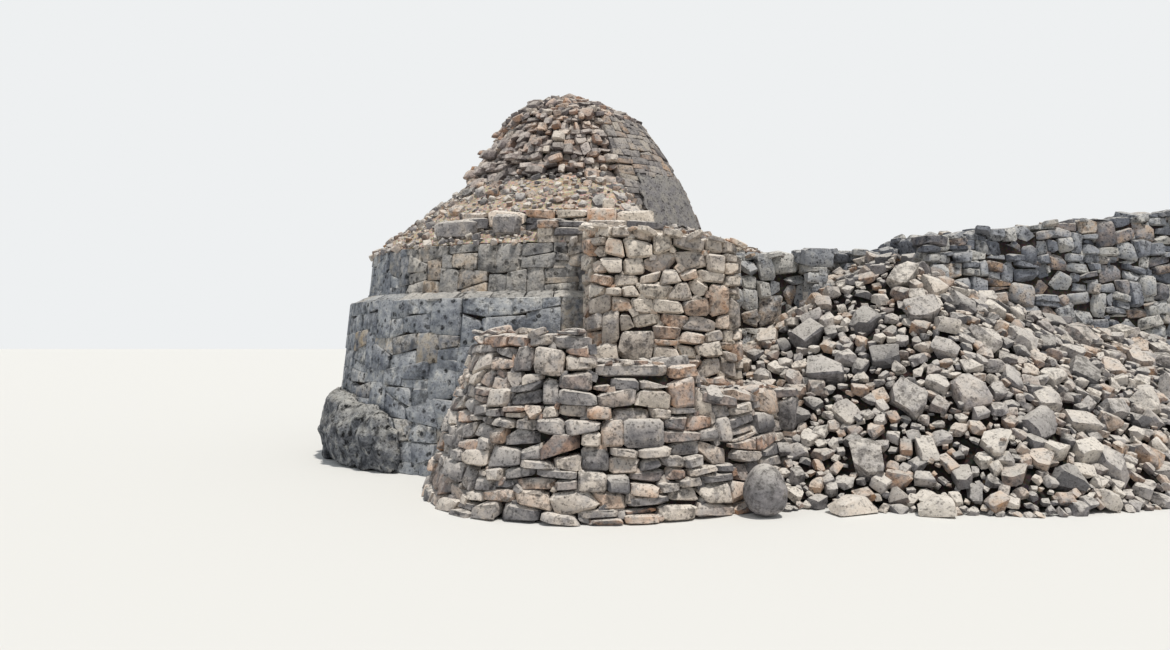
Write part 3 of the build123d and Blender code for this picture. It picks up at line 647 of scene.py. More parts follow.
# %% [markdown]
# A mix node has several sockets of one name, so its factor and colours go by number: 0, 6 and 7, and
# its colour comes out of 2.

# %% The limestone recipe
MIX, MATHS, RANGE, NOISE = "ShaderNodeMix", "ShaderNodeMath", "ShaderNodeMapRange", "ShaderNodeTexNoise"
DIM, WHITE = (0.25, 0.25, 0.25, 1), (1, 1, 1, 1)
MOTTLE_MM, PATCH_MM, GRAIN_MM, SPECK_MM, HOLLOW_MM = 110, 75, 14, 26, 60


def limestone(name, tones, warm, lichen, top_bleach_and_highlight, lichen_amount=0.6, top_bleach_and_highlight_amount=0.5, pit_amount=0.5,
              warm_amount=0.35, relief=1.0, own_tone=0.45, pit_size=38):
    """Weathered dry-laid limestone. tones run from dark to light, warm stains fresh breaks, lichen darkens,
    and the colour after lichen is painted on what looks up as a sunlit highlight, with some of the sun's
    bleaching. Amounts run from 0 to 1, pit_size is in mm."""
    material = bpy.data.materials.new(name)
    material.use_nodes = True
    tree = material.node_tree
    shader = tree.nodes["Principled BSDF"]
    # Rough stone scatters light and hardly shines
    shader.inputs["Roughness"].default_value = 0.92
    shader.inputs["Specular IOR Level"].default_value = 0.25
    place = add_node(tree, "ShaderNodeTexCoord").outputs["Object"]
    own = add_node(tree, "ShaderNodeAttribute", attribute_name="stone").outputs["Vector"]
    tone, warmth, age = add_node(tree, "ShaderNodeSeparateXYZ", {0: own}).outputs[:3]

    # Mottling as wide as a hand, and patches that break up into spots. The stone's real grain is far
    # too fine to show, so it is drawn as coarse as gravel.
    mottle = add_node(
        tree, NOISE, {"Vector": place, "Scale": per_metre(MOTTLE_MM), "Detail": 5.0, "Roughness": 0.6}
    ).outputs[0]
    patches = add_node(
        tree, NOISE, {"Vector": place, "Scale": per_metre(PATCH_MM), "Detail": 9.0, "Roughness": 0.7}
    ).outputs[0]
    grain = add_node(
        tree, NOISE, {"Vector": place, "Scale": per_metre(GRAIN_MM), "Detail": 4.0, "Roughness": 0.7}
    ).outputs[0]

    # Each stone's own tone, mixed with the mottling
    from_stone = add_node(tree, MATHS, {0: tone, 1: own_tone}, operation="MULTIPLY").outputs[0]
    level = add_node(
        tree, MATHS, {0: mottle, 1: 1 - own_tone, 2: from_stone}, operation="MULTIPLY_ADD"
    ).outputs[0]
    places = (0.30, 0.43, 0.55, 0.70)
    stops = [(position, linear(colour)) for position, colour in zip(places, tones)]
    base = add_node(tree, "ShaderNodeValToRGB", {0: level}, stops).outputs[0]

    # Orange where the break is fresh or iron has stained it
    is_warm = add_node(tree, RANGE, {0: warmth, 1: 1 - warm_amount, 2: 1.0}).outputs[0]
    marks = add_node(tree, RANGE, {0: mottle, 1: 0.35, 2: 0.65}).outputs[0]
    stained = add_node(tree, MATHS, {0: is_warm, 1: marks}, operation="MULTIPLY").outputs[0]
    base = add_node(tree, MIX, {0: stained, 6: base, 7: linear(warm)}, data_type="RGBA").outputs[2]

    # Tops that look up painted paler: a painted sunlit highlight, with some of the sun's bleaching
    normal = add_node(tree, "ShaderNodeNewGeometry").outputs["Normal"]
    up = add_node(tree, "ShaderNodeSeparateXYZ", {0: normal}).outputs[2]
    bleached_and_lit_tops = add_node(tree, RANGE, {0: up, 1: 0.15, 2: 0.95, 4: top_bleach_and_highlight_amount}).outputs[0]
    base = add_node(tree, MIX, {0: bleached_and_lit_tops, 6: base, 7: linear(top_bleach_and_highlight)}, data_type="RGBA").outputs[2]

    # Black and grey lichen: patches on some stones and specks on most
    edge = add_node(tree, MATHS, {0: age, 1: 0.16, 2: patches}, operation="MULTIPLY_ADD").outputs[0]
    grown = add_node(tree, RANGE, {0: edge, 1: 0.62, 2: 0.72, 4: lichen_amount}).outputs[0]
    specks = add_node(tree, NOISE, {"Vector": place, "Scale": per_metre(SPECK_MM), "Detail": 3.0}).outputs[0]
    dotted = add_node(tree, RANGE, {0: specks, 1: 0.58, 2: 0.68, 4: lichen_amount}).outputs[0]
    dark = add_node(tree, MATHS, {0: grown, 1: dotted}, operation="MAXIMUM").outputs[0]
    base = add_node(tree, MIX, {0: dark, 6: base, 7: linear(lichen)}, data_type="RGBA").outputs[2]

    # Solution pits, in groups, darkened to the lichen colour
    spots = add_node(
        tree, "ShaderNodeTexVoronoi", {"Vector": place, "Scale": per_metre(pit_size)}
    ).outputs["Distance"]
    hollow = add_node(tree, RANGE, {0: spots, 1: 0.34, 2: 0.22}).outputs[0]
    group = add_node(tree, RANGE, {0: patches, 1: 0.46, 2: 0.56, 4: pit_amount}).outputs[0]
    pit = add_node(tree, MATHS, {0: hollow, 1: group}, operation="MULTIPLY").outputs[0]
    base = add_node(tree, MIX, {0: pit, 6: base, 7: linear(lichen)}, data_type="RGBA").outputs[2]
    speck = add_node(tree, "ShaderNodeValToRGB", {0: grain}, [(0.3, DIM), (0.7, WHITE)]).outputs[0]
    inputs = {0: 0.35, 6: base, 7: speck}
    base = add_node(tree, MIX, inputs, data_type="RGBA", blend_type="SOFT_LIGHT").outputs[2]
    tree.links.new(base, shader.inputs["Base Color"])

    # Relief: hollows three fingers wide, and the pits
    rough = add_node(
        tree, NOISE, {"Vector": place, "Scale": per_metre(HOLLOW_MM), "Detail": 8.0, "Roughness": 0.62}
    ).outputs[0]
    height = add_node(tree, MATHS, {0: pit, 1: -0.5, 2: rough}, operation="MULTIPLY_ADD").outputs[0]
    bump = add_node(tree, "ShaderNodeBump", {"Height": height, "Strength": 0.9, "Distance": 0.03 * relief})
    tree.links.new(bump.outputs[0], shader.inputs["Normal"])
    return material


print("the stone's marks, in mm:", MOTTLE_MM, PATCH_MM, GRAIN_MM, SPECK_MM, HOLLOW_MM)

# %% [markdown]
# Each finish is named for its stone and how it weathered. One finish for all would be simpler, but
# old walls, fresh breaks and fallen stones differ at a glance, so each has its own four tones.

# %% The finishes
MATERIALS = {
    # Cool grey with wide soft pits, so that the large old stones read as one weathered skin
    "weathered_grey_limestone": limestone(
        "weathered_grey_limestone",
        ("#666a73", "#80848b", "#9c9fa3", "#c4c2bd"),
        "#a8967c", "#2f3134", "#d2cfc8",
        lichen_amount=0.6, top_bleach_and_highlight_amount=0.45, pit_amount=0.95, warm_amount=0.2,
        relief=1.9, own_tone=0.16, pit_size=95,
    ),
    # The same skin under the kerb, where less rain runs: warmer, with more fresh stone
    "sheltered_limestone": limestone(
        "sheltered_limestone",
        ("#6b6a6c", "#888684", "#a49f99", "#c4bdb2"),
        "#b39a7f", "#383736", "#d0ccc4",
        lichen_amount=0.6, top_bleach_and_highlight_amount=0.4, pit_amount=0.8, warm_amount=0.4,
        relief=1.7, own_tone=0.2, pit_size=95,
    ),
    # Living rock, nearly black in its hollows and painted pale on its tops as a sunlit highlight, and not
    # split into stones
    "eroded_rock": limestone(
        "eroded_rock",
        ("#383a3f", "#55575c", "#7a7c80", "#b0aea8"),
        "#948470", "#17181a", "#d0ccc2",
        lichen_amount=0.85, top_bleach_and_highlight_amount=0.55, pit_amount=1.0, warm_amount=0.0,
        relief=2.6, own_tone=0.0, pit_size=130,
    ),
    # Even and pale with little relief, so that the doorway reads as the worked part
    "dressed_limestone": limestone(
        "dressed_limestone",
        ("#857f77", "#9a9389", "#aea599", "#c2b7a7"),
        "#b39b7c", "#4a4641", "#ccc4b5",
        lichen_amount=0.5, top_bleach_and_highlight_amount=0.3, warm_amount=0.2, relief=0.5,
    ),
    # Dull and warm, since no rain or sun reaches it and little lichen grows
    "chamber_limestone": limestone(
        "chamber_limestone",
        ("#7b756d", "#8f887e", "#a2998c", "#b5aa9a"),
        "#ab9274", "#4a4641", "#b9ad9b",
        lichen_amount=0.4, top_bleach_and_highlight_amount=0.2, pit_amount=0.4, warm_amount=0.2, relief=0.8,
    ),
    # Brownish grey and close in tone, so that the thin courses show more than the stones
    "cone_facing_limestone": limestone(
        "cone_facing_limestone",
        ("#625f60", "#777374", "#8b8684", "#a49b90"),
        "#a58262", "#39373a", "#b0a89c",
        top_bleach_and_highlight_amount=0.35, pit_amount=0.6, warm_amount=0.25, own_tone=0.35,
    ),
    # From dark grey to pale, with many orange breaks, so that the torn filling looks fresh
    "core_rubble": limestone(
        "core_rubble",
        ("#635c5c", "#807877", "#9f9592", "#c9beb2"),
        "#bd8f6e", "#363434", "#d6ccbf",
        lichen_amount=0.55, top_bleach_and_highlight_amount=0.5, pit_amount=0.4, warm_amount=0.45,
    ),
    # The palest of the walls, with a cream sunlit highlight painted on its tops and black lichen beside it
    "cream_limestone": limestone(
        "cream_limestone",
        ("#696769", "#8f8a88", "#b8ada2", "#d9cdbe"),
        "#bd9070", "#3a3838", "#e8e0d5",
        lichen_amount=0.65, top_bleach_and_highlight_amount=0.6, warm_amount=0.4,
    ),
    # Blue-grey with a few warm stones, so that the terrace stands back from the house
    "terrace_limestone": limestone(
        "terrace_limestone",
        ("#63666e", "#7d8087", "#999b9f", "#b9b6b0"),
        "#a88b70", "#35363a", "#cfcbc3",
        lichen_amount=0.7, pit_amount=0.7, warm_amount=0.25,
    ),
    # Mixed clean faces, and tops painted paler as a sunlit highlight with some bleaching, as stones that fell
    # show a new side
    "fallen_limestone": limestone(
        "fallen_limestone",
        ("#696768", "#888485", "#a7a09b", "#cac1b6"),
        "#b38863", "#3c3937", "#e3dcd1",
        lichen_amount=0.6, top_bleach_and_highlight_amount=0.55, pit_amount=0.4, warm_amount=0.4,
    ),
    # A dull grey skin with dark pits, flatter in tone than any stone beside it
    "lime_render": limestone(
        "lime_render",
        ("#5f5d60", "#737174", "#86837f", "#9c968d"),
        "#8f7b66", "#3c393a", "#a69f94",
        lichen_amount=0.7, top_bleach_and_highlight_amount=0.25, pit_amount=0.9, warm_amount=0.3, relief=0.9,
    ),
}
print("stone finishes:", len(MATERIALS))

# %% [markdown]
# Earth is softer and finer than stone. The stone recipe would give it lichen and pits, so it has a
# shorter one with clods and chips.

# %% Earth
CLOD_MM = 90


def earth(name, dark, middle, light, chip_size, relief):
    """Dry earth with stone chips, whose size is in mm."""
    material = bpy.data.materials.new(name)
    material.use_nodes = True
    tree = material.node_tree
    shader = tree.nodes["Principled BSDF"]
    # Loose earth shines even less than stone
    shader.inputs["Roughness"].default_value = 0.97
    shader.inputs["Specular IOR Level"].default_value = 0.15
    place = add_node(tree, "ShaderNodeTexCoord").outputs["Object"]
    clods = add_node(
        tree, NOISE, {"Vector": place, "Scale": per_metre(CLOD_MM), "Detail": 8.0, "Roughness": 0.7}
    ).outputs[0]
    chips = add_node(
        tree, "ShaderNodeTexVoronoi", {"Vector": place, "Scale": per_metre(chip_size)}
    ).outputs["Color"]
    stops = [(0.32, linear(dark)), (0.5, linear(middle)), (0.7, linear(light))]
    colour = add_node(tree, "ShaderNodeValToRGB", {0: clods}, stops).outputs[0]
    inputs = {0: 0.3, 6: colour, 7: chips}
    colour = add_node(tree, MIX, inputs, data_type="RGBA", blend_type="SOFT_LIGHT").outputs[2]
    tree.links.new(colour, shader.inputs["Base Color"])
    bump = add_node(tree, "ShaderNodeBump", {"Height": clods, "Strength": 0.9, "Distance": relief})
    tree.links.new(bump.outputs[0], shader.inputs["Normal"])
    return material


# Packed earth, painted nearly black as the shade in a joint, so that a joint reads as depth
MATERIALS["packed_earth_and_painted_shade"] = earth("packed_earth_and_painted_shade", "#211e1c", "#302b28", "#463e38", 25, 0.02)
# Pale dry soil that lies between the small stones of the banks
MATERIALS["bank_earth"] = earth("bank_earth", "#8a7b6e", "#b09f8d", "#d2c3b0", 22, 0.03)
# The stones of banks and fill look like all the fallen ones
MATERIALS["earth_and_rubble"] = MATERIALS["fallen_limestone"]
print("finishes:", sorted(MATERIALS))

# %% [markdown]
# ## Following a wall's line
# Every face here follows a line on plan: a circle, an arc, a rounded corner or a straight run. One
# function unrolls such a line. A wall faces the left of the line's direction, so lines outside run
# clockwise and lines inside the room run the other way.

# %% Lines and faces
def arc(centre, radius, start, end):
    """Plan points along an arc, in short steps."""
    turns = np.radians(np.linspace(start, end, max(2, int(abs(end - start) / 1.5) + 1)))
    return np.stack([centre[0] + radius * np.cos(turns), centre[1] + radius * np.sin(turns)], axis=-1)


def face_along(path, lean=lambda u, v: 0 * v):
    """place() and the length of a face that follows a plan line, leaning by lean(u, v)."""
    path = np.array(path, dtype=float)
    steps = np.diff(path, axis=0)
    lengths = np.hypot(*steps.T)
    path = np.concatenate([path[:1], path[1:][lengths > 1e-6]])
    steps = np.diff(path, axis=0)
    lengths = np.hypot(*steps.T)
    along = np.concatenate([[0], np.cumsum(lengths)])
    directions = steps / lengths[:, None]
    directions = np.concatenate([directions[:1], directions[:-1] + directions[1:], directions[-1:]])
    directions /= np.linalg.norm(directions, axis=1)[:, None]

    def place(u, v, out):
        """Points at u along the line, at height v and this far out of the face."""
        x, y = np.interp(u, along, path[:, 0]), np.interp(u, along, path[:, 1])
        dx, dy = np.interp(u, along, directions[:, 0]), np.interp(u, along, directions[:, 1])
        shift = out + lean(u, v)
        return np.stack([x - dy * shift, y + dx * shift, v], axis=-1)

    return place, along[-1]


def by_sector(stones, sectors):
    """Stones of a round wall, shared out among its nodes by azimuth."""
    groups = {name: [] for name in sectors}
    for stone in stones:
        for name, (start, end) in sectors.items():
            if (azimuth_of(stone) - start) % 360 < end - start:
                groups[name].append(stone)
                break
    return groups


def outside_drum(stones, margin=0.10):
    """Stones whose middle isn't buried in the drum."""
    kept = []
    for stone in stones:
        x, y, z = middle_of(stone)
        radius = LOWER_FOOT_R - (LOWER_FOOT_R - LOWER_TOP_R) * z / LEDGE_Z if z < LEDGE_Z else UPPER_TOP_R
        if math.hypot(x - AXIS[0], y - AXIS[1]) > radius - margin:
            kept.append(stone)
    return kept


print("once round the drum's foot is", round(face_along(arc(AXIS, LOWER_FOOT_R, 360, 0))[1], 2), "m")

# %% [markdown]
# ## The drum's lower tier
# Large stones, closely fitted and leaning in: this is the oldest and best masonry here. Its joints
# are thin and wander, and its top course runs in under the ledge. The face starts beside one
# doorway jamb and ends beside the other.

# %% Lower tier
rng = np.random.default_rng(3)
LOWER_SECTORS = {
    "lower_wall_right": (-22.5, 30),
    "lower_wall_back_right": (30, 90),
    "lower_wall_back_left": (90, 142.5),
    "lower_wall_left": (142.5, 195),
    "lower_wall_front_left": (195, 240),
    "lower_wall_front": (240, 285),
    "lower_wall_front_right": (285, 337.5),
}
FACE_R_AT_DOOR = 3.26
jamb_turn = math.degrees(math.asin((DOOR_HALF + JAMB_W) / FACE_R_AT_DOOR))


def lower_lean(u, v):
    """How far the lower tier's face has leaned in at a height."""
    return -(LOWER_FOOT_R - LOWER_TOP_R) * v / LEDGE_Z


lower_place, lower_length = face_along(arc(AXIS, LOWER_FOOT_R, 90 - jamb_turn, jamb_turn - 270), lower_lean)
cells = lay_face(
    rng, lower_length, lambda u: LEDGE_Z, widths=(0.22, 0.52), heights=(0.15, 0.29), start_z=0.0,
    wander=0.4, tall=0.2, thin=0.2,
)
lower_stones = dress_face(
    rng, cells, lower_place, joint=(-0.014, -0.002), proud=(-0.022, 0.006), depth=0.25, tilt=1.5,
    tight=True, pins=0.3, cap_z=lambda u: LEDGE_Z, cap_depth=0.30,
)
over_door, over_length = face_along(arc(AXIS, LOWER_FOOT_R, 90 + jamb_turn, 90 - jamb_turn), lower_lean)
cells = lay_face(
    rng, over_length, lambda u: LEDGE_Z, widths=(0.28, 0.42), heights=(0.20, 0.22), start_z=SPRING_Z,
    wander=0.0, tall=0.0, thin=0.0,
)
over_stones = dress_face(rng, cells, over_door, depth=0.30, tight=True)
BESIDE_LINTEL_W = 0.11
beside_lintel = [
    ((left, DOOR_H), (right, DOOR_H), (right, SPRING_Z), (left, SPRING_Z))
    for left, right in ((0.0, BESIDE_LINTEL_W), (over_length - BESIDE_LINTEL_W, over_length))
]
lower_stones += dress_face(rng, beside_lintel, over_door, tight=True)
lower_groups = by_sector(lower_stones, LOWER_SECTORS)
PASSAGE_IN, PASSAGE_OUT = 1.50, 2.74
for name, side in (("lower_wall_back_right", 1), ("lower_wall_back_left", -1)):
    passage_side = [AXIS + (side * DOOR_HALF, reach) for reach in (PASSAGE_IN, PASSAGE_OUT)]
    place, length = face_along(passage_side[::side])
    cells = lay_face(
        rng, length, lambda u: DOOR_H, widths=(0.20, 0.42), heights=(0.16, 0.26), start_z=0.0,
        wander=0.15, tall=0.1, thin=0.1,
    )
    lower_groups[name] += dress_face(rng, cells, place, proud=(-0.02, 0.0), depth=0.2, tight=True)
for name, stones in lower_groups.items():
    make_piece(name, "weathered_grey_limestone", stones, [heart(name)])
make_piece("wall_over_door", "weathered_grey_limestone", over_stones, [heart("wall_over_door")])

# %% [markdown]
# ## The upper tier
# Above the ledge the drum is narrower and its stones are smaller. It could share the lower tier's
# face, but its foot stands back on the ledge, so it is laid as a face of its own.

# %% Upper tier
rng = np.random.default_rng(4)
UPPER_SECTORS = {
    "upper_wall_right": (-22.5, 60),
    "upper_wall_back": (60, 150),
    "upper_wall_left": (150, 225),
    "upper_wall_front": (225, 337.5),
}
upper_place, upper_length = face_along(
    arc(AXIS, UPPER_FOOT_R, 90, -270),
    lambda u, v: -(UPPER_FOOT_R - UPPER_TOP_R) * (v - LEDGE_Z) / (TERRACE_Z - LEDGE_Z),
)
cells = lay_face(
    rng, upper_length, lambda u: TERRACE_Z, widths=(0.14, 0.40), heights=(0.10, 0.19), start_z=LEDGE_Z,
    wander=0.4, tall=0.2,
)
upper_stones = dress_face(
    rng, cells, upper_place, joint=(-0.012, 0.004), proud=(-0.025, 0.006), depth=0.2, tilt=2.0,
    tight=True, pins=0.3, cap_z=lambda u: TERRACE_Z, cap_depth=0.28,
)
upper_groups = by_sector(upper_stones, UPPER_SECTORS)
print("upper tier", len(upper_stones), "stones")

# %% [markdown]
# At the ledge's edge a row of thin stones slopes up towards the upper tier. A plain sloping band
# would be simpler, but the ledge is part of the drum's outline, so stones that lean far in make it.

# %% The ledge's sloping lip
LIP_RISE, LIP_LEAN = 0.09, 2.0
lip_place, lip_length = face_along(
    arc(AXIS, LOWER_TOP_R - 0.02, 90, -270), lambda u, v: -(v - LEDGE_Z) * LIP_LEAN
)
lip_cells = lay_cap(
    rng, 0, lip_length, lambda u: LEDGE_Z + LIP_RISE, widths=(0.30, 0.60), thickness=(0.09, 0.12)
)
lip_stones = dress_face(
    rng, lip_cells, lip_place, joint=(-0.01, 0.012), proud=(-0.03, 0.0), depth=0.12, tilt=2.0
)
for name, stones in by_sector(lip_stones, UPPER_SECTORS).items():
    upper_groups[name] += stones
for name, stones in upper_groups.items():
    finish = "sheltered_limestone" if name == "upper_wall_front" else None
    make_piece(name, "weathered_grey_limestone", stones, [heart(name)], finish=finish)

# %% [markdown]
# ## The cone's facing
# Thin flat stones laid close. Tiles set on a slope would be quicker, but the real courses are
# walling, so the facing is unrolled and laid as the walls are. Its top has broken off lower on the
# left, so the step there gets an end face of its own.

# %% Cone facing
rng = np.random.default_rng(5)
FACING_START, FACING_END, FACING_T = -67.5, 180.0, 0.25
FACING_SECTORS = {
    "cone_facing_right": (-67.5, 15),
    "cone_facing_back": (15, 97.5),
    "cone_facing_left": (97.5, 180),
}
FACING_REFERENCE, FACING_FOOT_Z, FACING_BROKEN = 1.60, 2.70, 0.33
facing_place, facing_length = face_along(
    arc(AXIS, FACING_REFERENCE, FACING_END, FACING_START), lambda u, v: cone_radius(v) - FACING_REFERENCE
)
left_top_u = facing_length / 3


def facing_top(u):
    """The facing's top, broken off lower at its left end."""
    return CROWN_Z - (FACING_BROKEN if u < left_top_u else 0.0)


cells = lay_face(
    rng, facing_length, facing_top, widths=(0.12, 0.34), heights=(0.055, 0.11), start_z=FACING_FOOT_Z,
    wander=0.3, tall=0.1, thin=0.15, breaks=(left_top_u,),
)
facing_stones = dress_face(
    rng, cells, facing_place, joint=(-0.008, 0.008), proud=(-0.03, 0.008), depth=0.22, tilt=3.0, tight=True,
    cap_z=facing_top, cap_depth=0.26,
)
STEP_LAP = 0.06
step_z = facing_top(0)
step_radius = cone_radius(CROWN_Z)
step_radii = np.array([step_radius - FACING_T - STEP_LAP, step_radius + 0.08])
step_place, step_length = face_along(from_axis(step_radii, 97.6))
cells = lay_face(
    rng, step_length, lambda u: CROWN_Z, widths=(0.12, 0.30), heights=(0.06, 0.11),
    start_z=step_z - STEP_LAP,
)
facing_stones += dress_face(rng, cells, step_place, proud=(-0.03, 0.0), depth=0.22, tilt=3.0)
for name, stones in by_sector(facing_stones, FACING_SECTORS).items():
    make_piece(name, "cone_facing_limestone", stones, [heart(name, inset=0.05)])

# %% [markdown]
# Where that top has broken off, the filling behind it shows. It could be laid down to the terrace,
# but the facing hides the rest, so the upper courses are enough.

# %% The core behind the facing
rng = np.random.default_rng(6)
BEHIND_FOOT_Z = 4.0
behind_place, behind_length = face_along(
    arc(AXIS, FACING_REFERENCE, FACING_END, 97.5),
    lambda u, v: cone_radius(v) - FACING_T - FACING_REFERENCE,
)
cells = lay_face(
    rng, behind_length, lambda u: CROWN_Z, widths=(0.08, 0.26), heights=(0.05, 0.10), start_z=BEHIND_FOOT_Z,
    wander=0.3,
)
behind_stones = dress_face(
    rng, cells, behind_place, joint=(-0.02, 0.0), proud=(-0.05, 0.03), depth=0.22, tilt=6.0
)
make_piece("core_behind_facing", "core_rubble", behind_stones, [heart("core_behind_facing", inset=0.04)])

# %% [markdown]
# ## The bare core
# Where the facing fell, the cone's rough filling shows: flat stones of all sizes that stick out
# and hang over. Scattered stones would lie on the slope, while these are bedded in it. So they are
# laid as a face too, crowded until they overlap, pushed far in and out, and some of them jut.

# %% Bare core
rng = np.random.default_rng(7)
CORE_FOOT_Z, CORE_BACK = 3.0, 0.07
core_place, core_length = face_along(
    arc(AXIS, FACING_REFERENCE, 292.5 - 360, 180 - 360),
    lambda u, v: cone_radius(v) - CORE_BACK - FACING_REFERENCE,
)
cells = lay_face(
    rng, core_length, lambda u: CROWN_Z, widths=(0.07, 0.22), heights=(0.04, 0.085), start_z=CORE_FOOT_Z,
    wander=0.4, tall=0.15, thin=0.2,
)
core_stones = dress_face(
    rng, cells, core_place, joint=(-0.03, 0.0), proud=(-0.10, 0.06), depth=0.28, tilt=8.0, wild=0.4, pins=0.4,
    cap_z=lambda u: CROWN_Z, cap_depth=0.3,
)
jutting = [cell for cell in cells if rng.random() < 0.10]
core_stones += dress_face(
    rng, jutting, core_place, joint=(-0.05, -0.02), proud=(0.07, 0.15), depth=0.3, tilt=8.0
)
make_piece("bare_core", "core_rubble", core_stones, [heart("bare_core", inset=0.09)])

# %% [markdown]
# ## The crown
# The broken tip is a loose pile of flat stones that leans to the left. All of it could be scattered,
# but its foot is still laid, so a face goes round the foot and stones are scattered above it.

# %% Crown
rng = np.random.default_rng(8)
CROWN_UNROLL_R, CROWN_FOOT_Z, CROWN_LAID_Z = 0.75, 4.38, 4.60
CROWN_PROFILE = [
    (CROWN_FOOT_Z, 1.03, 0.0), (CROWN_Z, 0.98, 0.0), (4.69, 0.62, -0.085), (4.89, 0.10, -0.17),
]
crown_z, crown_r, crown_shift = (np.array(column) for column in zip(*CROWN_PROFILE))


def crown_place(u, v, out):
    """A face round the crown, whose middle drifts to the left as it rises."""
    radius = np.maximum(np.interp(v, crown_z, crown_r) + out, 0.01)
    turn = -u / CROWN_UNROLL_R
    return np.stack(
        [
            AXIS[0] + np.interp(v, crown_z, crown_shift) + radius * np.cos(turn),
            AXIS[1] + radius * np.sin(turn),
            v,
        ],
        axis=-1,
    )


once_round = 2 * math.pi * CROWN_UNROLL_R
cells = lay_face(
    rng, once_round, lambda u: CROWN_LAID_Z, widths=(0.14, 0.34), heights=(0.06, 0.11),
    start_z=CROWN_FOOT_Z, wander=0.1, tall=0.0, thin=0.2,
)
crown_stones = dress_face(
    rng, cells, crown_place, joint=(-0.03, 0.0), proud=(-0.08, 0.03), depth=0.30, tilt=5.0
)
crown_stones += scatter(
    rng, node_triangles("crown"), [(40, 0.18, 0.26), (800, 0.12, 0.18), (3000, 0.06, 0.12)],
    lambda p, n: n[2] > 0.3, family="rubble", flat=0.5, sink=0.45, upright=0.5, spacing=0.62,
)
make_piece("crown", "core_rubble", crown_stones, [heart("crown", inset=0.05)])

# %% [markdown]
# ## The room inside
# Through the doorway one sees the chamber's wall and, above it, the dome: ring on ring of stone,
# each stepping in over the one below until a single slab closes it. A smooth dome with a stone
# pattern would lose those steps, so each ring is laid at its own radius.

# %% Chamber and dome
rng = np.random.default_rng(9)
door_turn = math.degrees(math.asin(DOOR_HALF / SPRING_R))
chamber_place, chamber_length = face_along(
    arc(AXIS, CHAMBER_R, 90 + door_turn, 450 - door_turn),
    lambda u, v: (CHAMBER_R - SPRING_R) * v / SPRING_Z,
)
cells = lay_face(
    rng, chamber_length, lambda u: SPRING_Z, widths=(0.22, 0.45), heights=(0.15, 0.25), start_z=0.0,
    wander=0.15, tall=0.08, thin=0.12,
)
chamber_stones = dress_face(rng, cells, chamber_place, proud=(-0.02, 0.0), depth=0.25, tight=True)
CHAMBER_SECTORS = {
    "chamber_wall_right": (-30, 90),
    "chamber_wall_left": (90, 210),
    "chamber_wall_front": (210, 330),
}
for name, stones in by_sector(chamber_stones, CHAMBER_SECTORS).items():
    make_piece(name, "chamber_limestone", stones, [heart(name)])

DOME_STONE_L, DOME_TURN = 0.32, 37
DOME_LIFTS = {"dome_lower": (0, 4), "dome_middle": (4, 8), "dome_upper": (8, 11)}
for name, (first, last) in DOME_LIFTS.items():
    stones = []
    for course in range(first, last):
        radius = SPRING_R * (1 - (course / DOME_COURSES) ** DOME_SWELL)
        low = SPRING_Z + course * COURSE_T
        place, length = face_along(arc(AXIS, radius, course * DOME_TURN, course * DOME_TURN + 360))
        count = max(5, round(length / DOME_STONE_L))
        joints = (np.arange(count) + rng.uniform(-0.2, 0.2, count)) * length / count
        joints = np.append(joints, joints[0] + length)
        for left, right in zip(joints, joints[1:]):
            cell = ((left, low), (right, low), (right, low + COURSE_T), (left, low + COURSE_T))
            cell = np.clip(cell, (0, 0), (length, CROWN_Z))
            stones.append(fit_stone(
                rng, cell, place, "fitted", joint=(0.0, 0.01), proud=(-0.015, 0.0), depth=0.3, tilt=0.5
            ))
    make_piece(name, "chamber_limestone", stones, [heart(name, inset=0.04)])

# %% [markdown]
# ## The doorway
# Jambs of squared corner stones carry a lintel, and more lintels roof the passage. These were
# dressed with a hammer, so their edges are sharper. Square jambs would stand out of the round
# wall, so they follow its face, while the lintels and the sill are straight blocks.

# %% Doorway
def block_at(rng, low, high, family="dressed", tones=None):
    """One squared stone that fills a box."""
    points, faces, sides = SHAPES[family][rng.integers(0, len(SHAPES[family]) // 4) * 4]
    low, high = np.array(low), np.array(high)
    tones = rng.random(3) if tones is None else tones
    return (low + high) / 2 + points * (high - low) / 2, faces, sides, tones


def doorway_place(u, v, out):
    """A face that follows the drum's outside across the doorway, with u measured along X."""
    radius = LOWER_FOOT_R + lower_lean(u, v)
    return np.stack([AXIS[0] + u, AXIS[1] + np.sqrt(radius**2 - u**2) + out, v], axis=-1)


rng = np.random.default_rng(10)
jamb_stones = []
for side, heights in ((-1, (0.42, 0.33, 0.40, 0.35)), (1, (0.36, 0.41, 0.34, 0.39))):
    left, right = sorted((side * DOOR_HALF, side * (DOOR_HALF + JAMB_W - 0.01)))
    low_z = 0.0
    for height in heights:
        cell = ((left, low_z), (right, low_z), (right, low_z + height), (left, low_z + height))
        reach = rng.uniform(0.40, 0.48)
        jamb_stones.append(fit_stone(
            rng, cell, doorway_place, "dressed", joint=(0.004, 0.01), proud=(-0.01, -0.002),
            depth=reach, tilt=0.2,
        ))
        low_z += height
make_piece("door_jambs", "dressed_limestone", jamb_stones, [heart("door_jambs", inset=0.05)])
lintel_low, lintel_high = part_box("outer_lintel")
make_piece(
    "outer_lintel", "dressed_limestone",
    [block_at(rng, tuple(lintel_low), (lintel_high[0], lintel_high[1] - 0.03, lintel_high[2]))],
)
lintel_low, lintel_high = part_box("passage_lintels")
run = (lintel_high[1] - lintel_low[1]) / 4
passage = [
    block_at(
        rng,
        (lintel_low[0] + 0.01, lintel_low[1] + k * run + 0.004, lintel_low[2]),
        (lintel_high[0] - 0.01, lintel_low[1] + (k + 1) * run - 0.004, lintel_high[2]),
    )
    for k in range(4)
]
make_piece("passage_lintels", "dressed_limestone", passage)
sill_low, sill_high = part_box("door_sill")
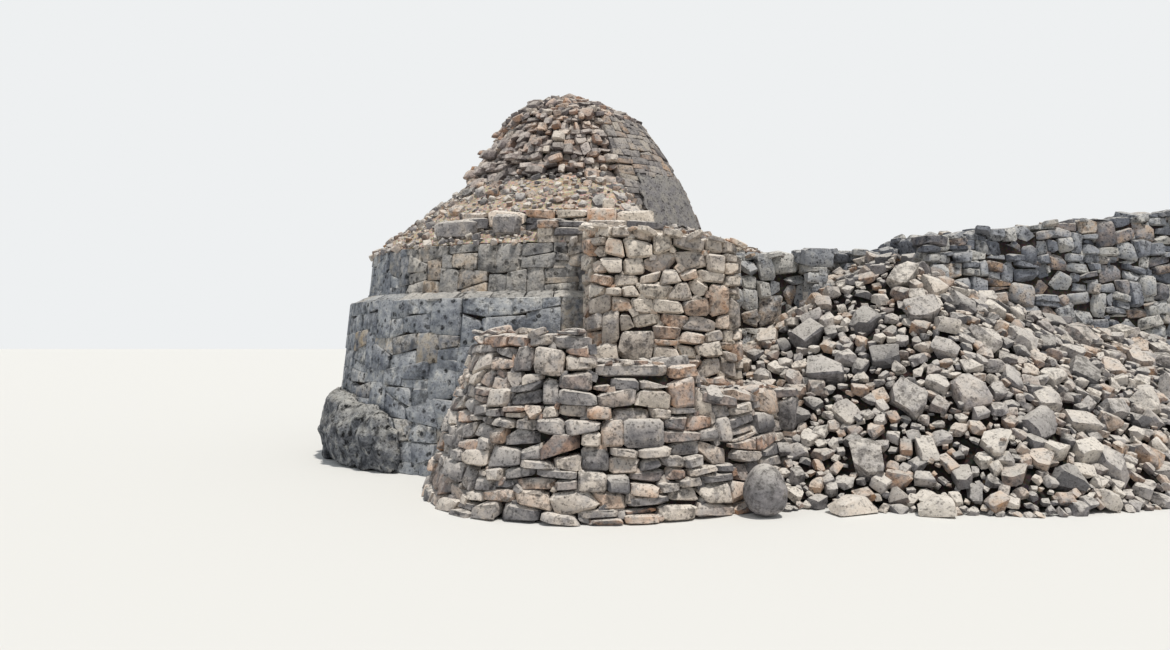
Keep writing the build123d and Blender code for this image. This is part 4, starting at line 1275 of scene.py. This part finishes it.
make_piece("door_sill", "dressed_limestone", [block_at(rng, tuple(sill_low), tuple(sill_high))])

# %% [markdown]
# ## Buttress
# Rounded at both corners and laid with squarish stones, each about as large as a head. Its top
# falls to the right and is closed with flat stones, small ones between the large. Three flat faces
# would meet in sharp corners, so one face is followed round both.

# %% Buttress
rng = np.random.default_rng(11)
BUTTRESS_LEFT, BUTTRESS_RIGHT, BUTTRESS_FRONT = 0.08, 1.84, -3.62
LEFT_R, RIGHT_R = 0.48, 0.33
BUTTRESS_LEFT_Z, BUTTRESS_FALL, BUTTRESS_BATTER = 2.70, 7, 1.2


def buttress_lean(u, v):
    """How far the buttress's face has leaned in at a height."""
    return -v * math.tan(math.radians(BUTTRESS_BATTER))


left_centre = AXIS + (BUTTRESS_LEFT + LEFT_R, BUTTRESS_FRONT + LEFT_R)
right_centre = AXIS + (BUTTRESS_RIGHT - RIGHT_R, BUTTRESS_FRONT + RIGHT_R)
buttress_line = np.concatenate(
    [
        [AXIS + (BUTTRESS_RIGHT, -2.25)],
        arc(right_centre, RIGHT_R, 0, -90),
        arc(left_centre, LEFT_R, -90, -180),
        [AXIS + (BUTTRESS_LEFT, -2.70)],
    ]
)
buttress_place, buttress_length = face_along(buttress_line, buttress_lean)


def buttress_top(u):
    """Height of the buttress where its face has come to u."""
    x = buttress_place(np.array([u]), np.array([2.5]), 0.0)[0, 0] - AXIS[0] - BUTTRESS_LEFT
    return BUTTRESS_LEFT_Z - math.tan(math.radians(BUTTRESS_FALL)) * x


cells = lay_face(
    rng, buttress_length, buttress_top, widths=(0.17, 0.34), heights=(0.11, 0.20), start_z=0.0,
    wander=0.35, tall=0.08, thin=0.15,
)
buttress_stones = dress_face(
    rng, cells, buttress_place, joint=(-0.01, 0.016), proud=(-0.045, 0.015), depth=0.26, tilt=5.0,
    wild=0.15, pins=0.5, cap_z=buttress_top, cap_depth=0.34,
)
TOP_CLASSES = [(60, 0.26, 0.36), (2500, 0.14, 0.24), (3000, 0.07, 0.12)]
buttress_stones += scatter(
    rng, node_triangles("buttress"), TOP_CLASSES, lambda p, n: n[2] > 0.9, family="slab", flat=0.3,
    sink=0.6, upright=0.8, spacing=0.7,
)
buttress_stones = outside_drum(buttress_stones, margin=0.2)
# shade=(0.5, 1.0) paints the buttress's stones lighter: painted sunlight on its front
make_piece(
    "buttress", "cream_limestone", buttress_stones, [heart("buttress", inset=0.11)], shade=(0.5, 1.0)
)

# %% [markdown]
# ## The kerb
# A kerb of flat stones holds the high bank in front of the bare core, with two large slabs on its left and
# two loose blocks on top. The courses are laid as a face. The slabs and blocks could come from it too, but
# each can be told apart in the picture, so they are placed one by one.

# %% Kerb
def high_bank_z(radius):
    """Height of the high bank's surface at a radius."""
    inner = cone_radius(HIGH_BANK_Z) - 0.09
    return TERRACE_Z + (HIGH_BANK_Z - TERRACE_Z) * (UPPER_TOP_R - radius) / (UPPER_TOP_R - inner)


rng = np.random.default_rng(12)
KERB_OUT, KERB_IN, SLAB_R = 2.61, 2.30, 2.70
kerb_top = high_bank_z(KERB_IN) + 0.02
kerb_stones = []
for radius, start, end, top_z, low_z, depth in (
    (KERB_OUT, 240.0, 292.5, kerb_top, high_bank_z(KERB_OUT) - 0.05, 0.33),
    (UPPER_TOP_R, 262.5, 292.5, kerb_top - 0.15, TERRACE_Z, 0.25),
):
    place, length = face_along(arc(AXIS, radius, end - 360, start - 360))
    cells = lay_face(
        rng, length, lambda u: top_z, widths=(0.22, 0.50), heights=(0.08, 0.13), start_z=low_z,
        wander=0.3, tall=0.0, thin=0.1,
    )
    kerb_stones += dress_face(
        rng, cells, place, joint=(-0.03, 0.005), proud=(-0.03, 0.03), depth=depth, tilt=3.5, pins=0.3
    )
ORANGE_TONE = np.array([0.8, 1.0, 0.1])
CREAM_TONE = np.array([0.95, 0.2, 0.1])
GREY_TONE = np.array([0.35, 0.2, 0.6])
kerb_stones.append(block_at(rng, (-2.27, -1.67, 2.71), (-1.93, -1.38, 2.98), "block", ORANGE_TONE))
kerb_stones.append(block_at(rng, (-2.09, -1.58, 2.97), (-1.95, -1.40, 3.09), "block", CREAM_TONE))
slab_place, _ = face_along(arc(AXIS, SLAB_R, 292.5 - 360, 230 - 360))
for start, end, low, high in ((246.0, 232.5, 2.64, 2.88), (258.0, 250.3, 2.66, 2.92)):
    left, right = (math.radians(292.5 - turn) * SLAB_R for turn in (start, end))
    cell = ((left, low), (right, low), (right, high), (left, high))
    slab = fit_stone(rng, cell, slab_place, "slab", joint=(0, 0), proud=(-0.01, 0.01), depth=0.36, tilt=2.0)
    kerb_stones.append(slab[:3] + (GREY_TONE,))
make_piece("bank_kerb", "cream_limestone", kerb_stones, [heart("bank_kerb", inset=0.06)])

# %% [markdown]
# ## The banks
# Earth and stone chips that slid off the cone. Earth alone would look like a smooth ramp, so each
# bank is an uneven shape with small stones in it, and the high bank's two cut ends are faced.

# %% Banks
def looks_up(point, normal):
    """Whether a surface is flat enough for stones to lie on."""
    return normal[2] > 0.25


rng = np.random.default_rng(13)
BANK_END_OUT, BANK_END_IN = 2.74, 1.60
end_stones = []
for start, end, turn in ((BANK_END_OUT, BANK_END_IN, 180), (BANK_END_IN, BANK_END_OUT, 292.5)):
    place, length = face_along(from_axis(np.array([start, end]), turn))
    slope = (end - start) / length
    cells = lay_face(
        rng, length, lambda u: high_bank_z(start + slope * u), widths=(0.10, 0.28), heights=(0.07, 0.14),
        start_z=TERRACE_Z, wander=0.4, tall=0.1, thin=0.2,
    )
    end_stones += dress_face(
        rng, cells, place, joint=(-0.04, 0.0), proud=(-0.05, 0.06), depth=0.22, tilt=9.0, wild=0.6
    )
for name, stones in (("high_bank", end_stones), ("low_bank", [])):
    sizes = [(30, 0.14, 0.24), (700, 0.07, 0.13), (4000, 0.03, 0.07)]
    stones += scatter(
        rng, node_triangles(name), sizes, looks_up, family="rubble", flat=0.7, sink=0.4, upright=0.3,
        spacing=0.95,
    )
    bank_heart = heart(name, inset=0.0, rough=0.06, voxel=0.06, lump=0.3)
    make_piece(name, "earth_and_rubble", stones, [bank_heart], earth=True)

# %% [markdown]
# ## Terrace wall
# A long straight wall, breached near the drum where its stones slid down. Only its upper part shows
# above the heap at the front. Its back and its end are seen from the other sides, so those faces
# are laid as well, and not closed with plain ones.

# %% The terrace wall's line
rng = np.random.default_rng(18)
yaw = math.radians(11)
WALL_START = AXIS + (1.50, -2.87)
ALONG = np.array([math.cos(yaw), math.sin(yaw)])
OUT = np.array([math.sin(yaw), -math.cos(yaw)])
NEAR_L, BREACH_END, WALL_END, WALL_T, BREACH_DEPTH = 1.50, 2.65, 6.85, 1.10, 0.38
NEAR_Z, BREACH_Z, FAR_Z, END_Z = 2.43, 2.59, 2.70, 3.17


def on_wall(along, out):
    """A plan point from its place along the terrace wall and out from its foot."""
    return WALL_START + along * ALONG + out * OUT


def wall_top(along):
    """Top of the terrace wall at a place along it."""
    if along < BREACH_END:
        return NEAR_Z + (BREACH_Z - NEAR_Z) * along / BREACH_END
    return FAR_Z + (END_Z - FAR_Z) * (along - BREACH_END) / (WALL_END - BREACH_END)


def far_top(along):
    """Top of the far stretch, which starts above the breach."""
    return wall_top(max(along, BREACH_END + 0.001))


def wall_face(rng, start, end, top, batter, low=0.0):
    """Stones on a straight run of the terrace wall, between two (along, out) places."""
    place, length = face_along([on_wall(*start), on_wall(*end)], lambda u, v: -batter * v)

    def limit(u):
        """The wall's top, from the place along this run."""
        return top(start[0] + (end[0] - start[0]) * u / length)

    cells = lay_face(
        rng, length, limit, widths=(0.12, 0.36), heights=(0.08, 0.18), start_z=low, wander=0.45,
        tall=0.15, thin=0.25,
    )
    return dress_face(
        rng, cells, place, joint=(-0.02, 0.014), proud=(-0.07, 0.02), depth=0.26, tilt=7.0,
        wild=0.4, pins=0.5, cap_z=limit, cap_depth=0.36,
    )


def top_stones(rng, node, sizes=((40, 0.26, 0.38), (500, 0.13, 0.24), (500, 0.07, 0.12)), clear=math.inf):
    """Flat stones lying on a wall's top, up to a plane of x."""
    return scatter(
        rng, node_triangles(node), sizes, lambda p, n: n[2] > 0.9 and p[0] < clear, family="slab",
        flat=0.34, sink=0.6, upright=0.8, spacing=0.72,
    )


print("terrace wall", WALL_END, "m long, its top from", NEAR_Z, "to", END_Z, "m")

# %% [markdown]
# Three stretches are laid one after the other: beside the house, the breach, which is set back, and
# the long far one. One face for all would close the breach.

# %% The terrace wall's stones
near = wall_face(rng, (NEAR_L, 0), (0, 0), wall_top, batter=0.09)
near += wall_face(rng, (NEAR_L, -BREACH_DEPTH), (NEAR_L, 0), wall_top, batter=0.0)
near += wall_face(rng, (0, -WALL_T), (NEAR_L, -WALL_T), wall_top, batter=0.05)
near += top_stones(rng, "terrace_wall_near")
make_piece(
    "terrace_wall_near", "cream_limestone", outside_drum(near), [heart("terrace_wall_near", inset=0.09)],
    shade=(0.55, 1.0), finish="terrace_limestone",
)
breach = wall_face(rng, (BREACH_END, -BREACH_DEPTH), (NEAR_L, -BREACH_DEPTH), wall_top, batter=0.09)
breach += wall_face(rng, (NEAR_L, -WALL_T), (BREACH_END, -WALL_T), wall_top, batter=0.05)
breach += top_stones(rng, "terrace_wall_breach")
breach_heart = heart("terrace_wall_breach", inset=0.09)
make_piece("terrace_wall_breach", "terrace_limestone", outside_drum(breach), [breach_heart])
far = wall_face(rng, (WALL_END, 0), (BREACH_END, 0), far_top, batter=0.09)
far += wall_face(rng, (BREACH_END, 0), (BREACH_END, -WALL_T), far_top, batter=0.0)
far += wall_face(rng, (BREACH_END, -WALL_T), (WALL_END, -WALL_T), far_top, batter=0.05)
far += wall_face(rng, (WALL_END, -WALL_T + 0.12), (WALL_END, -0.12), far_top, batter=0.0)
far += top_stones(rng, "terrace_wall_far")
make_piece("terrace_wall_far", "terrace_limestone", far, [heart("terrace_wall_far", inset=0.09)])

# %% [markdown]
# ## Curved front wall
# Flat slabs with squarish blocks among them, laid dry round a nose, ragged on top. The line of its
# outer face goes round two arcs, from the right end over the nose to the drum. Straight runs would
# be simpler, but their corners would show on so round a wall.

# %% The front wall's line
rng = np.random.default_rng(15)
NOSE = AXIS + (0.15, -5.26)
LEFT_ARC_R, RIGHT_ARC_R, FOOT_T = 1.61, 2.30, 0.85
left_middle, right_middle = NOSE + (0, LEFT_ARC_R), NOSE + (0, RIGHT_ARC_R)
right_run = math.radians(67.5) * RIGHT_ARC_R
high_u = right_run - 0.1
step_u, break_u = math.radians(37.5) * RIGHT_ARC_R, right_run + math.radians(45) * LEFT_ARC_R


def front_batter(u):
    """The wall leans back more towards its left end."""
    turned = np.maximum(0, (u - right_run) / LEFT_ARC_R)
    return 0.18 + 0.16 * np.sin(np.minimum(turned, math.pi / 2))


front_place, front_length = face_along(
    np.concatenate([arc(right_middle, RIGHT_ARC_R, 337.5, 270), arc(left_middle, LEFT_ARC_R, 270, 150)[1:]]),
    lambda u, v: -front_batter(u) * v,
)


def front_top(u):
    """The ragged top: low on the right, a step up, then high over the nose."""
    if u < step_u:
        return 1.05 - 0.03 * math.sin(7 * u)
    if u < high_u:
        return 1.27 + 0.05 * math.sin(9 * u)
    return 1.56 + 0.02 * math.sin(8 * u)


print("front wall", round(front_length, 2), "m round its outer face")

# %% [markdown]
# The top is laid as a row of cap stones of its own, since a face cut off level would slice through
# its stones. The right end starts with one large block, and the inside shows above the fill.

# %% The front wall's stones
FRONT_RUNS = {
    "front_wall_right": (0, step_u),
    "front_wall_middle": (step_u, right_run),
    "front_wall_nose": (right_run, break_u),
    "front_wall_left": (break_u, math.inf),
}
CAP_T, END_BLOCK_L, END_BLOCK_LOW_Z, END_BLOCK_Z, RIGHT_END_Z = 0.10, 0.62, 0.80, 1.05, 1.04
INNER_FOOT_Z = 0.8
cells = lay_face(
    rng, front_length, lambda u: front_top(u) - CAP_T, widths=(0.17, 0.42), heights=(0.07, 0.145),
    start_z=0.0, wander=0.4, tall=0.05, thin=0.2, breaks=(step_u, high_u),
)
for start, end in ((END_BLOCK_L, step_u), (step_u, high_u), (high_u, front_length)):
    cells += lay_cap(rng, start, end, front_top, widths=(0.28, 0.48), thickness=(CAP_T, CAP_T + 0.03))
end_block = (
    (0.0, END_BLOCK_LOW_Z), (END_BLOCK_L, END_BLOCK_LOW_Z), (END_BLOCK_L, END_BLOCK_Z), (0.0, END_BLOCK_Z)
)
front_pieces = {name: [] for name in FRONT_RUNS}
front_pieces["front_wall_right"] += dress_face(
    rng, [end_block], front_place, joint=(-0.02, 0.0), proud=(0.04, 0.05), depth=0.34, tilt=2.0
)
for cell in cells:
    for name, (start, end) in FRONT_RUNS.items():
        if start <= np.mean([corner[0] for corner in cell]) < end:
            front_pieces[name] += dress_face(
                rng, [cell], front_place, joint=(-0.012, 0.016), proud=(-0.055, 0.02), depth=0.28, tilt=6.0,
                wild=0.15, pins=0.5, cap_z=front_top, cap_depth=0.34,
            )
INNER_RUNS = [
    (left_middle, LEFT_ARC_R, 150, 225, 1.56, "front_wall_left"),
    (left_middle, LEFT_ARC_R, 225, 270, 1.56, "front_wall_nose"),
    (right_middle, RIGHT_ARC_R, 270, 300, 1.28, "front_wall_middle"),
    (right_middle, RIGHT_ARC_R, 300, 337.5, RIGHT_END_Z, "front_wall_right"),
]
for centre, radius, start, end, top_z, name in INNER_RUNS:
    place, length = face_along(arc(centre, radius - FOOT_T, start, end))
    cells = lay_face(
        rng, length, lambda u: top_z, widths=(0.18, 0.38), heights=(0.09, 0.18), start_z=INNER_FOOT_Z
    )
    front_pieces[name] += dress_face(rng, cells, place, proud=(-0.03, 0.0), depth=0.26, tilt=4.0)
end_turn = math.radians(337.5)
end_out = np.array([math.cos(end_turn), math.sin(end_turn)])
place, length = face_along(
    [right_middle + (RIGHT_ARC_R - FOOT_T) * end_out, right_middle + RIGHT_ARC_R * end_out]
)
cells = lay_face(rng, length, lambda u: RIGHT_END_Z, widths=(0.18, 0.38), heights=(0.09, 0.19))
front_pieces["front_wall_right"] += dress_face(rng, cells, place, proud=(-0.03, 0.0), depth=0.25)
for name, stones in front_pieces.items():
    stones += top_stones(rng, name, sizes=((8, 0.22, 0.3), (60, 0.12, 0.2), (200, 0.06, 0.12)), clear=-0.45)
    # shade=(0.0, 0.7) paints the front wall's stones darker: painted shade on its faces
    make_piece(name, "cream_limestone", outside_drum(stones), [heart(name, inset=0.12)], shade=(0.0, 0.7))

# %% [markdown]
# ## Rubble
# The fill behind the front wall and the great heap at the breach are angular stones from a fist to
# a bucket in size. A displaced slope would show lumps and no stones, so they are scattered, and the
# node's own solid, drawn in, lies dark under them.

# %% Front fill
rng = np.random.default_rng(16)
sizes = [(60, 0.2, 0.3), (800, 0.12, 0.2), (4000, 0.05, 0.12)]
stones = scatter(
    rng, node_triangles("front_fill"), sizes, looks_up, family="rubble", flat=0.7, sink=0.35,
    upright=0.4, spacing=0.62,
)
make_piece("front_fill", "earth_and_rubble", stones, [heart("front_fill", inset=0.04)])

# %% [markdown]
# The frame's heap has large blocks in rows down its slope. Stones scattered at random would bury
# them, so each block gets one angular stone in its own place.

# %% The heap's large blocks
rng = np.random.default_rng(17)
HEAP_STATIONS = np.array(
    [
        (-0.42, 0.76, 1.88), (0.42, 1.33, 1.80), (1.30, 1.95, 2.15), (2.15, 2.42, 2.48), (3.20, 1.95, 2.42),
        (4.30, 1.64, 2.20), (5.45, 1.50, 1.85), (6.15, 1.08, 1.40), (6.65, 0.46, 0.76),
    ]
)
CREST_W, BELLY_SHARE, BELLY = 0.26, 0.5, 0.13
BLOCK_GAP, BLOCK_START, BLOCK_END, BLOCK_DOWN, BLOCK_LOWEST_Z = 0.55, 0.95, 6.30, 0.28, 0.26
BLOCK_L, BLOCK_W, BLOCK_PROUD, BLOCK_SINK, BLOCK_SPREAD, BLOCK_TURN = 0.33, 0.25, 0.12, 0.10, 0.18, 137.5


def heap_face(along):
    """Crest, belly and toe of the heap's face at a place along the wall, each out and up."""
    height = np.interp(along, HEAP_STATIONS[:, 0], HEAP_STATIONS[:, 1])
    reach = np.interp(along, HEAP_STATIONS[:, 0], HEAP_STATIONS[:, 2])
    belly_out = CREST_W + (reach - CREST_W) * BELLY_SHARE
    return np.array([(CREST_W, height), (belly_out, height * (1 - BELLY_SHARE) + BELLY), (reach, 0)])


def heap_point(along, down):
    """The point this far down the slope from the crest."""
    face = heap_face(along)
    runs = np.concatenate([[0], np.cumsum(np.hypot(*np.diff(face, axis=0).T))])
    out, z = np.interp(down, runs, face[:, 0]), np.interp(down, runs, face[:, 1])
    return np.array([*on_wall(along, out), z])


def heap_block(rng, along, down, number):
    """A block in its place, and the room that it takes."""
    spot = heap_point(along, down)
    ahead = heap_point(along + 0.05, down) - heap_point(along - 0.05, down)
    outward = np.cross(heap_point(along, down + 0.04) - spot, ahead)
    ahead, outward = ahead / np.linalg.norm(ahead), outward / np.linalg.norm(outward)
    turn = math.radians(BLOCK_TURN * number)
    size = 1 + BLOCK_SPREAD * math.sin(turn)
    side = ahead * math.cos(turn) + np.cross(outward, ahead) * math.sin(turn)
    half = np.array([BLOCK_L * size, BLOCK_W * size, BLOCK_PROUD * size + BLOCK_SINK]) / 2
    shapes = SHAPES["rubble"]
    points, faces, sides = shapes[rng.integers(len(shapes))]
    axes = np.stack([side, np.cross(outward, side), outward])
    centre = spot + outward * (BLOCK_PROUD * size - BLOCK_SINK) / 2
    return ((points * half) @ axes + centre, faces, sides, rng.random(3)), (spot, 0.58 * BLOCK_L * size)


blocks = []
for column in range(round((BLOCK_END - BLOCK_START) / BLOCK_GAP) + 1):
    along, down = BLOCK_START + column * BLOCK_GAP, BLOCK_DOWN + BLOCK_GAP / 2 * (column % 2)
    while heap_point(along, down)[2] > BLOCK_LOWEST_Z:
        blocks.append(heap_block(rng, along, down, len(blocks)))
        down += BLOCK_GAP
print(len(blocks), "large blocks in the heap")

# %% [markdown]
# The smaller stones keep clear of the blocks and fill the rest, the large ones first. The heap's two
# ends are steep, and would be left bare by a rule that asks for level places, so they count too.

# %% The heap's smaller stones
def slope_or_end(point, normal):
    """Whether a surface is the heap's slope or one of its ends."""
    return normal[2] > 0.25 or abs(normal[:2] @ ALONG) > 0.7


room = [place for _, place in blocks]
stones = [stone for stone, _ in blocks]
sizes = [(250, 0.20, 0.30), (2500, 0.14, 0.20), (9000, 0.09, 0.14), (14000, 0.05, 0.09)]
stones += scatter(
    rng, node_triangles("rubble_heap"), sizes, slope_or_end, family="rubble", flat=0.62, sink=0.30,
    upright=0.4, spacing=0.72, taken=room,
)
heap_heart = heart("rubble_heap", inset=0.04, rough=0.07, voxel=0.07, lump=0.16)
make_piece("rubble_heap", "fallen_limestone", stones, [heap_heart], sharp=40)

# %% [markdown]
# ## Bench rock and boulders
# The drum's left foot stands against living rock that rain has eaten into holes. A copy of the node's own
# shape is remeshed evenly and displaced by noise and pits, which keeps its size and place. One round boulder
# and two low angular blocks lie in front of the heap. They are placed one by one, since each can be told
# apart in the picture.

# %% Bench and boulders
points, faces, sides = heart("rock_bench", inset=0.02, rough=0.16, voxel=0.028, lump=0.34, pits=-0.07)
rock = (points, faces, sides, np.array([0.5, 0.3, 0.7]))
make_piece("rock_bench", "weathered_grey_limestone", [rock], finish="eroded_rock")
BOULDERS = [
    (-0.158, 1.975, 0.37, 0.36, 0.45, 10, "boulder", (0.3, 0.6, 0.8)),
    (0.64, 1.99, 0.46, 0.27, 0.15, 25, "rubble", (0.95, 0.7, 0.1)),
    (1.309, 2.23, 0.32, 0.24, 0.17, -20, "rubble", (1.0, 0.3, 0.1)),
]
TOP_TAPER = 0.28
stones = []
for count, (along, out, length, width, height, turn, family, tones) in enumerate(BOULDERS):
    points, faces, sides = SHAPES[family][4 * count]
    points = points * (np.array([length, width, height]) / 2)
    points[:, :2] *= 1 - TOP_TAPER * np.maximum(0, points[:, 2:] / (height / 2))
    turn = math.radians(turn)
    axes = np.array(
        [[math.cos(turn), math.sin(turn), 0], [-math.sin(turn), math.cos(turn), 0], [0, 0, 1]]
    )
    points = points @ axes + (*on_wall(along, out), height / 2)
    stones.append((points, faces, sides, np.array(tones)))
make_piece("boulders", "cream_limestone", stones, finish="fallen_limestone")

# %% [markdown]
# ## Render
# On the cone's lower right side a coat of lime render is left, with a torn edge. A picture of an
# edge would lie flat on the stones, so the coat's own solid is remeshed finely, and its points near
# the edge are drawn back to a wandering line.

# %% Render coat
COAT_TOP, COAT_LEFT, COAT_RIGHT = 3.64, 300, 337.5
TORN_TOP, TORN_FOOT, TORN_LEFT, TORN_RIGHT = 0.09, 0.05, 3.5, 2.5


def ragged(places):
    """A line between 0 and 1 that wanders with a long and a short step."""
    return 0.5 + 0.3 * np.sin(places * 9) + 0.2 * np.sin(places * 31 + 1)


def tear(points):
    """The coat's points, those near its edges drawn back to a wandering line."""
    x, y = (points[:, :2] - AXIS).T
    radius, turn = np.hypot(x, y), np.degrees(np.arctan2(y, x)) % 360
    top = COAT_TOP - TORN_TOP * ragged(turn * 0.03)
    low = LOW_BANK_Z + TORN_FOOT * ragged(turn * 0.04 + 2)
    left = COAT_LEFT + TORN_LEFT * ragged(points[:, 2])
    right = COAT_RIGHT - TORN_RIGHT * ragged(points[:, 2] + 5)
    turn, z = np.clip(turn, left, right), np.clip(points[:, 2], low, top)
    radius = radius + cone_radius(z) - cone_radius(points[:, 2])
    return np.column_stack([from_axis(radius, turn), z])


points, faces, sides = heart("render_coat", inset=0.0, rough=0.012, voxel=0.02, lump=0.12)
make_piece("render_coat", "lime_render", [(tear(points), faces, sides, np.array([0.5, 0.2, 0.4]))])

# %% [markdown]
# ## What stays as the frame has it
# The closing slab can hardly be seen, so it keeps its own shape and only gets a finish.

# %% Kept node
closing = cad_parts["closing_stone"]
closing.data.materials.clear()
closing.data.materials.append(MATERIALS["chamber_limestone"])
print("kept as it is:", closing.name)

# %% [markdown]
# ## The floor
# The house needs something to stand on and to cast its shadow on. A patterned floor would draw the
# eye, so this one is plain, and so wide that its edge lies far behind.

# %% Floor
FLOOR_W = 120
deselect()
bpy.ops.mesh.primitive_plane_add(size=FLOOR_W, location=(0, 0, 0))
floor = bpy.context.object
floor.name = "floor"
# Matt and nearly white, so that only the shadow shows on it
floor_material = bpy.data.materials.new("pale_floor")
floor_material.use_nodes = True
floor_shader = floor_material.node_tree.nodes["Principled BSDF"]
floor_shader.inputs["Base Color"].default_value = linear("#d8d7d3")
floor_shader.inputs["Roughness"].default_value = 0.95
floor.data.materials.append(floor_material)
print("floor", FLOOR_W, "m wide")

# %% [markdown]
# ## Light
# Soft studio light: one lamp high on the right for the sun, a weak broad one from the left that
# opens the shadows, and an even sky. More light on the stones would clip the cream ones, so the
# white behind them comes from the world, for the camera, glossy and transmission rays alone.

# %% Light
bpy.context.scene.view_settings.view_transform = "Standard"


def lamp(name, direction, strength, softness, colour):
    """A far lamp that shines from a direction, with a width in degrees."""
    data = bpy.data.lights.new(name, "SUN")
    data.energy = strength
    data.angle = math.radians(softness)
    data.color = colour
    obj = bpy.data.objects.new(name, data)
    obj.rotation_euler = Vector(direction).to_track_quat("Z", "Y").to_euler()
    bpy.context.collection.objects.link(obj)
    print(name, "lamp of strength", strength)


lamp("key", (0.28, -0.36, 1.2), strength=3.0, softness=5, colour=(1.0, 0.965, 0.91))
lamp("fill", (-0.8, -0.7, 0.5), strength=0.4, softness=60, colour=(0.86, 0.93, 1.0))

world = bpy.data.worlds.new("studio")
bpy.context.scene.world = world
world.use_nodes = True
tree = world.node_tree
tree.nodes.clear()
path = add_node(tree, "ShaderNodeLightPath")
rays = {0: path.outputs["Is Camera Ray"], 1: path.outputs["Is Glossy Ray"]}
seen = add_node(tree, MATHS, rays, operation="MAXIMUM")
rays = {0: seen.outputs[0], 1: path.outputs["Is Transmission Ray"]}
seen = add_node(tree, MATHS, rays, operation="MAXIMUM")
sky = add_node(tree, "ShaderNodeBackground", {"Color": (0.86, 0.92, 1.0, 1), "Strength": 0.42})
backdrop = add_node(tree, "ShaderNodeBackground", {"Color": linear("#eef0f1"), "Strength": 1.0})
both = add_node(tree, "ShaderNodeMixShader", {0: seen.outputs[0], 1: sky.outputs[0], 2: backdrop.outputs[0]})
add_node(tree, "ShaderNodeOutputWorld", {"Surface": both.outputs[0]})

# %% [markdown]
# ## Camera
# It stands at eye height where the photograph was taken from. Tilting it to set the horizon would
# make the walls lean, so it looks level and its picture is shifted instead.

# %% Camera
SENSOR_W, LENS, PICTURE_W, HORIZON_OFF_MIDDLE = 36, 26.0, 1170, 5
CAMERA_PLACE = (-2.288, -11.12, 1.60)
camera_data = bpy.data.cameras.new("camera")
camera_data.sensor_width = SENSOR_W
camera_data.lens = LENS
camera_data.shift_y = HORIZON_OFF_MIDDLE / PICTURE_W
camera = bpy.data.objects.new("camera", camera_data)
camera.location = CAMERA_PLACE
camera.rotation_euler = (math.radians(90), 0, 0)
bpy.context.collection.objects.link(camera)
bpy.context.scene.camera = camera
print("camera at", CAMERA_PLACE, "with a lens of", LENS, "mm")
